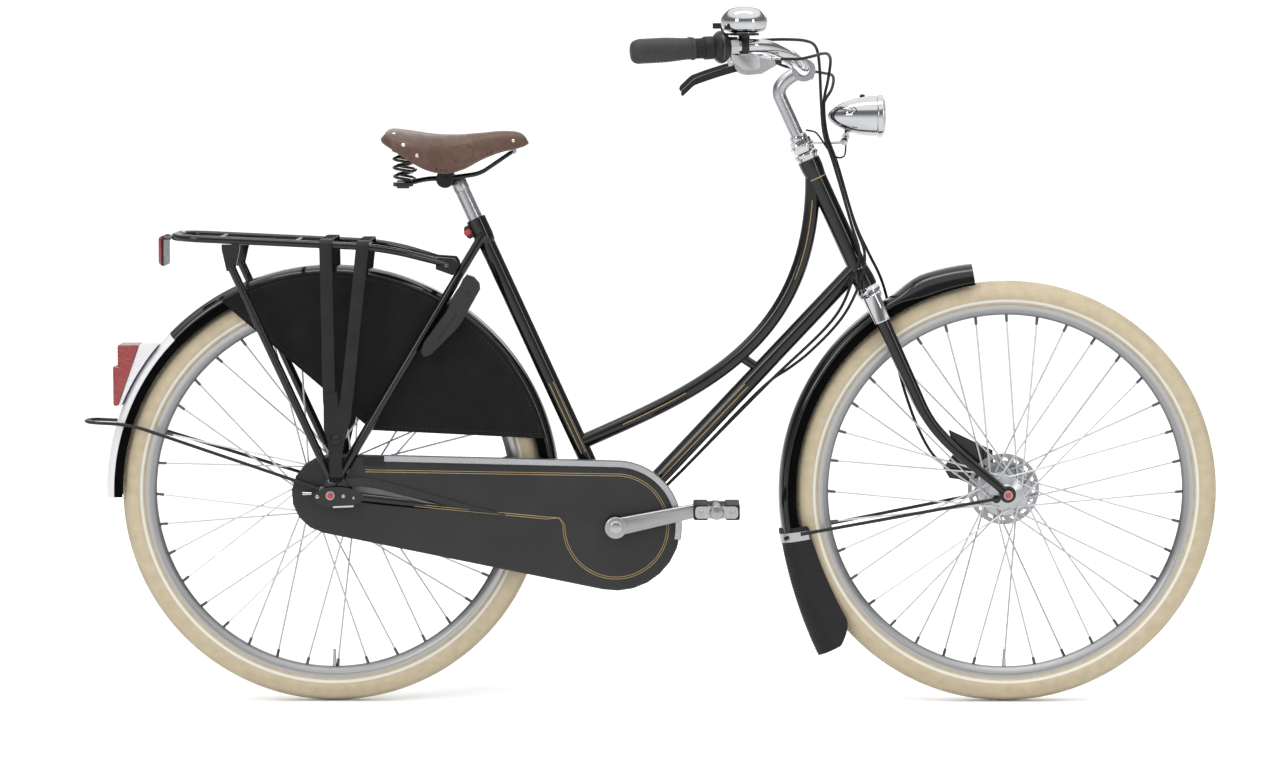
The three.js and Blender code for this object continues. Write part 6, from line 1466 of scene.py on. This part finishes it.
def straps():
    """Two rubber bands from one foot over the deck to the other, with ribs on top and a plate at each foot."""
    shape = Shape()
    for top_back in STRAP_BACKS:
        deck = FENDER + deck_rise(top_back) + RACK_TUBE + GAP + 1.5
        arm = [xyz(REAR.x - back, DECK_HALF + out, REAR.z + rise) for back, out, rise in
               ((-9, 4, 23), (-9, 6, 80), ((top_back + 1.4) * 0.48 - 3, 7.5, 160), (top_back, 9.5, deck - 5),
                (top_back, 4.5, deck))]
        path = bent(over(arm), 4, 4)
        rings = []
        for i, spot in enumerate(path):
            along = (path[min(i + 1, len(path) - 1)] - path[max(i - 1, 0)]).normalized()
            wide = (X_AXIS - along * along.x).normalized()
            up = along.cross(wide)
            rings.append([spot + wide * a + up * b for a, b in STRAP])
        shape.loft(rings, rubber)
        for i in range(STRAP_RIBS):
            spot = xyz(REAR.x - top_back, 0, REAR.z + deck + 1.4)
            shape.tube([spot + xyz(reach, RIB_STEP * (i - 4), 0) for reach in (-9, 9)], 0.9, rubber, 8)
    for side, _ in SIDES:
        shape.slab(STRAP_FOOT, *sorted((side * 90.8, side * 93)), rubber)
        shape.dome(xyz(-519.9, side * 93, 446.8), Y_AXIS * side, 8.6, 4.2, plastic, 28)
    shape.make("strap_bands", "luggage_straps", angle=40)


REFLECTOR_BACK, REFLECTOR_RISE, REFLECTOR_HALVES = 285.25, 24, (46, 25)


def reflector():
    """The red reflector in its dark case, on two arms from the end of the rack."""
    shape = Shape()
    rings = []
    half_wide, half_tall = REFLECTOR_HALVES
    for forward, shrink in ((0, 4), (0.8, 2.6), (4, 0.4), (5, 0), (9, 0)):
        outline = rounded_box(half_wide - shrink, half_tall - shrink, 7)
        rings.append([rack_place(REFLECTOR_BACK - forward, y, REFLECTOR_RISE + z) for y, z in outline])
    shape.loft(rings[:4], red_lens)
    shape.loft(rings[3:], plastic)
    for side, _ in SIDES:
        shape.tube([rack_place(280.75, side * 30, 45), rack_place(265.6, side * 30, 45)], 3, dark_steel, 14)
    shape.make("reflector", "rear_reflector", angle=30)


rack()
straps()
reflector()


# Drive
LINE_RADIUS, LINE_GAP = 88, 3.4
CRESCENT = (
    (-511.8, 379.3), (-495, 382), (-478.6, 382), (-462, 380), (-432, 372.6), (-399, 364.2), (-349, 349.2),
    (-299, 335), (-249, 322.5), (-241, 318.4), (-299, 327.5), (-349, 339.2), (-399, 350), (-432, 357.6),
    (-462, 366), (-482, 367.6), (-498.5, 365), (-508.5, 367.6),
)
WEDGE = (
    (-497, 366), (-478.6, 366.8), (-448.7, 361.7), (-415.5, 352.6), (-382.3, 344.2), (-349, 336),
    (-382.3, 339.7), (-432, 345), (-473.6, 347.4), (-490, 353),
)
TRIM_BLOCK = ((-476, 402), (-442, 402), (-442, 418), (-476, 416))


def chain_case():
    """The case with its painted double line, a darker crescent over the stay and a lighter wedge below it."""
    shape = Shape().copy("chain_case", case_paint)
    face = CASE_SIDE - 0.1
    for inset in (0, LINE_GAP):
        path = [xyz(-473.7, face, 394.2 - inset)]
        path += [polar(BRACKET, a, LINE_RADIUS - inset, face) for a in range(85, -185, -3)]
        path += [xyz(x, face, z) for x, z in
                 ((-152 + inset * 0.3, 314), (-172, 312 + inset), (-392.3, 333.3 + inset))]
        shape.tube(path, 0.55, gold_line, 8)
    raised = ((CRESCENT, 2.6, black), (WEDGE, 0.6, case_light), (TRIM_BLOCK, 2.4, plastic))
    for outline, proud, material in raised:
        shape.slab(outline, CASE_SIDE - proud, CASE_SIDE + 1, material)
    collar = [(17.2, 0), (19.5, 0), (20, 0.5), (20, 1.4), (17.2, 1.4)]
    shape.ring(collar, BRACKET + Y_AXIS * CASE_SIDE, -Y_AXIS, plastic)
    shape.make("case_shell", "chain_case", angle=30)


PEDAL_START, PEDAL_END, PEDAL_RIBS = 82, 166, 24


def pedal(side, name, turn):
    """A pedal with two ribbed rubber blocks between its end plates, and the cap over its bearing."""
    centre = polar(BRACKET, turn, CRANK_LENGTH)
    start, end = PEDAL_START, PEDAL_END
    shape = Shape()
    for middle in (-26, 26):
        rings = []
        for i in range(PEDAL_RIBS + 1):
            y = start + 1.4 + (end - start - 2.8) * i / PEDAL_RIBS
            outline = rounded_box(12, 13 if i % 2 else 12.1, 3)
            rings.append([centre + xyz(middle + x, side * y, z) for x, z in outline])
        shape.loft(rings, rubber)
    for low in (start, end - 2):
        outline = [(centre.x + x, centre.z + z) for x, z in rounded_box(35, 10, 6)]
        shape.slab(outline, *sorted((side * low, side * (low + 2))), alloy)
        for x in (-26, 26):
            face, way = (low + 2, side) if low > start else (low, -side)
            screw = screw_profile(4.2, 0, 1.6, 3.4, 2.2)
            shape.lathe(screw, centre + xyz(x, side * face, 0), Y_AXIS * way, zinc, 6)
    barrel = [(5, start), (8.4, start), (9, start + 1), (9, end + 1), (11.4, end + 2), (11.8, end + 3.4),
              (10, end + 6), (5, end + 7.4), (0.5, end + 7.8)]
    shape.lathe(barrel, centre, Y_AXIS * side, zinc, 32)
    shape.make(name + "_block", name, angle=30)


def dust_cap():
    """The bright cap over the crank's bolt."""
    profile = [(9, 79), (17, 79), (18, 79.8), (17, 80.6), (12, 80.9), (9, 80.9)]
    shape = Shape().lathe(profile, BRACKET, -Y_AXIS, crank_alloy)
    shape.dome(BRACKET - Y_AXIS * 80.9, -Y_AXIS, 10.4, 1.8, alloy, 40)
    shape.make("crank_dust_cap", "right_crank", extra=True)


# The strip's radius round the crank, its slope along the straight top and how far round it goes, in degrees
TRIM_RADIUS, TRIM_SLOPE, TRIM_TURN, TRIM_STEPS = 109.6, 1.36, 100.6, 48


def case_trim():
    """The bright strip over the top of the case, round to just below the level of the crank."""
    top = 90 - TRIM_SLOPE
    start, tangent = xyz(-443.7, 0, 418.5), polar(BRACKET, top, TRIM_RADIUS)
    stations = [(start.lerp(tangent, i / 8), top) for i in range(8)]
    angles = [top - TRIM_TURN * i / TRIM_STEPS for i in range(TRIM_STEPS + 1)]
    stations += [(polar(BRACKET, a, TRIM_RADIUS), a) for a in angles]
    strip = (-10.6, -58.4), (-10.6, -59.5), (-0.7, -59.5), (0, -58.8), (0, -44.6), (-1.2, -44.6), (-1.2, -58.4)
    shape = Shape()
    shape.loft([[polar(spot, a, reach, y) for reach, y in strip] for spot, a in stations], brushed)
    for reach in (-10.6, -0.4):
        shape.tube([polar(spot, a, reach, -59.4) for spot, a in stations], 0.6, dark_steel, 6)
    shape.make("case_trim", "chain_case_trim", angle=35)


chain_case()
case_trim()
refined("right_crank", crank_alloy, 40, 0.6)
refined("left_crank", crank_alloy, 40, 0.6)
dust_cap()
pedal(-1, "right_pedal", 12)
pedal(1, "left_pedal", 192)
refined("ring_lock", plastic, 50, 0.8)


LOCK = ((-304.1, 719.2), (-291.8, 715.1), (-283, 705), (-281.7, 694.7), (-289.8, 680.4), (-308, 647.8),
        (-318.3, 631.5), (-334.5, 615), (-363, 586.6), (-375, 582.6), (-380, 590.7), (-375, 607),
        (-338.7, 656), (-318.3, 694.7), (-310, 712))


def lock_cover():
    """The long moulded body of the lock beside the seat stay, with its keyhole."""
    shape = Shape().slab(LOCK, -66, -48, case_paint)
    # The keyhole and the thin line below it are dark marks, painted shade for their hollows
    shape.tube([xyz(-300.4, -66.4, 688.7), xyz(-300.4, -65, 688.7)], 4.4, painted_hole_shade, 24)
    shape.tube([xyz(-352, -66, 612), xyz(-320, -66, 655)], 0.9, painted_hole_shade, 8)
    shape.make("lock_cover", "ring_lock", angle=50, bevel=3.5, extra=True)


lock_cover()
refined("ring_lock_bolt", zinc, 50, 0.3)


STAND_LENGTH, STAND_OUT, STAND_DROP = 272, 0.15, 0.06


def kickstand():
    """The stand folded back along the stay, with its pivot and rubber foot."""
    shape = Shape()
    pivot = xyz(-128, 25.5, 276.3)
    tip = pivot + xyz(-1, STAND_OUT, -STAND_DROP) * STAND_LENGTH
    way = (tip - pivot).normalized()
    shape.lathe(ring_profile(2, 11, -10, 10, 0.8), pivot, Y_AXIS, black, 36)
    shape.lathe(screw_profile(6, 10, 13, 5, 14), pivot, Y_AXIS, zinc, 6)
    shape.tube([pivot, tip - way * 40], 7.5, black, 24)
    foot = [tip - way * 46, tip - way * 42, tip - way * 20, tip - way * 4, tip]
    shape.tube(foot, [7.8, 8.4, 9.6, 11, 9.6], rubber, 24)
    shape.make("stand_leg", "kickstand")


kickstand()

# Cables, from the bar to where they end
HOUSING, FERRULE, FERRULE_STEPS = 2.5, 3.1, 7
GEAR = (
    (127, -246, 1096), (150, -238, 1100), (172, -230, 1105), (200, -215, 1107), (228, -180, 1107),
    (252, -130, 1105), (268, -85, 1099), (276, -50, 1085), (280, -28, 1058), (283, -18, 1004), (288, -17, 950),
    (303, -17, 905), (335, -18, 797), (347, -26, 752), (336, -29, 710), (310, -15, 650), (199.5, -3.2, 537.4),
    (65.1, -3.2, 400), (-19.2, -3.2, 311.4), (-33, -3.2, 279.5), (-58, -3.2, 271.5), (-90, -2, 275),
    (-125, 2.6, 279), (-142, 4.4, 280.4), (-160, 11, 283.4), (-185, 25.2, 295), (-220, 34.3, 305.5),
    (-400, 50.2, 327.7), (-490, 58.2, 338.7),
)
REAR_BRAKE = (
    (194.1, -254, 1076.8), (218, -246, 1076), (240, -228, 1076), (262, -190, 1080), (280, -140, 1084),
    (292, -90, 1082), (297, -50, 1070), (294, -24, 1040), (288, -12, 1004), (293, -11, 950), (309, -11, 905),
    (341, -12, 797), (356, -22, 752), (350, -31, 712), (322, -22, 650), (265, -9, 586.5), (231.5, -1, 559.5),
    (199.5, 3.2, 537.4), (65.1, 3.2, 400), (-19.2, 3.2, 311.4), (-33, 3.2, 279.5), (-58, 3.2, 271.5),
    (-90, 4.2, 275), (-125, 9, 279), (-142, 11.6, 281.2), (-160, 18.6, 284.4), (-185, 32.4, 294.6),
    (-220, 40.9, 305.9), (-340, 51.3, 321), (-398, 56.4, 328.3),
)
FRONT_BRAKE = (
    (194.1, 254, 1076.8), (226, 240, 1062), (262, 190, 1054), (292, 120, 1050), (306, 60, 1044),
    (302, 28, 1024), (288, 14, 998), (293, 12, 950), (309, 12, 905), (343, 12, 797), (364, 16, 752),
    (384, 24, 712), (397, 42, 672), (402, 56, 636), (414, 60, 570), (427, 60, 520), (451, 58, 454),
    (474, 54, 412), (500, 46, 386),
)


def cable(name, route, ends):
    """A cable's housing, with a ferrule at its first end (0) and its last one (1)."""
    path = spline(route, 10)
    shape = Shape().tube(path, HOUSING, rubber, 12)
    for end in ends:
        shape.tube(path[-FERRULE_STEPS:] if end else path[:FERRULE_STEPS], FERRULE, alloy, 12)
    shape.make(name + "_hose", name)


cable("gear_cable", GEAR, (0,))
cable("rear_brake_cable", REAR_BRAKE, (0, 1))
cable("front_brake_cable", FRONT_BRAKE, (0, 1))


def lamp_wire():
    """The wire from the lamp down and back to the stem."""
    wire = spline([KNUCKLE + xyz(2, -4, 22), (322, -6, 914), (312, -8, 911), (298, -10, 921), (284, -12, 941),
                   (274, -12, 953), (258, -12, 957)], 8)
    Shape().tube(wire, 1.5, rubber, 8).make("lamp_wire", "headlamp", extra=True)


lamp_wire()
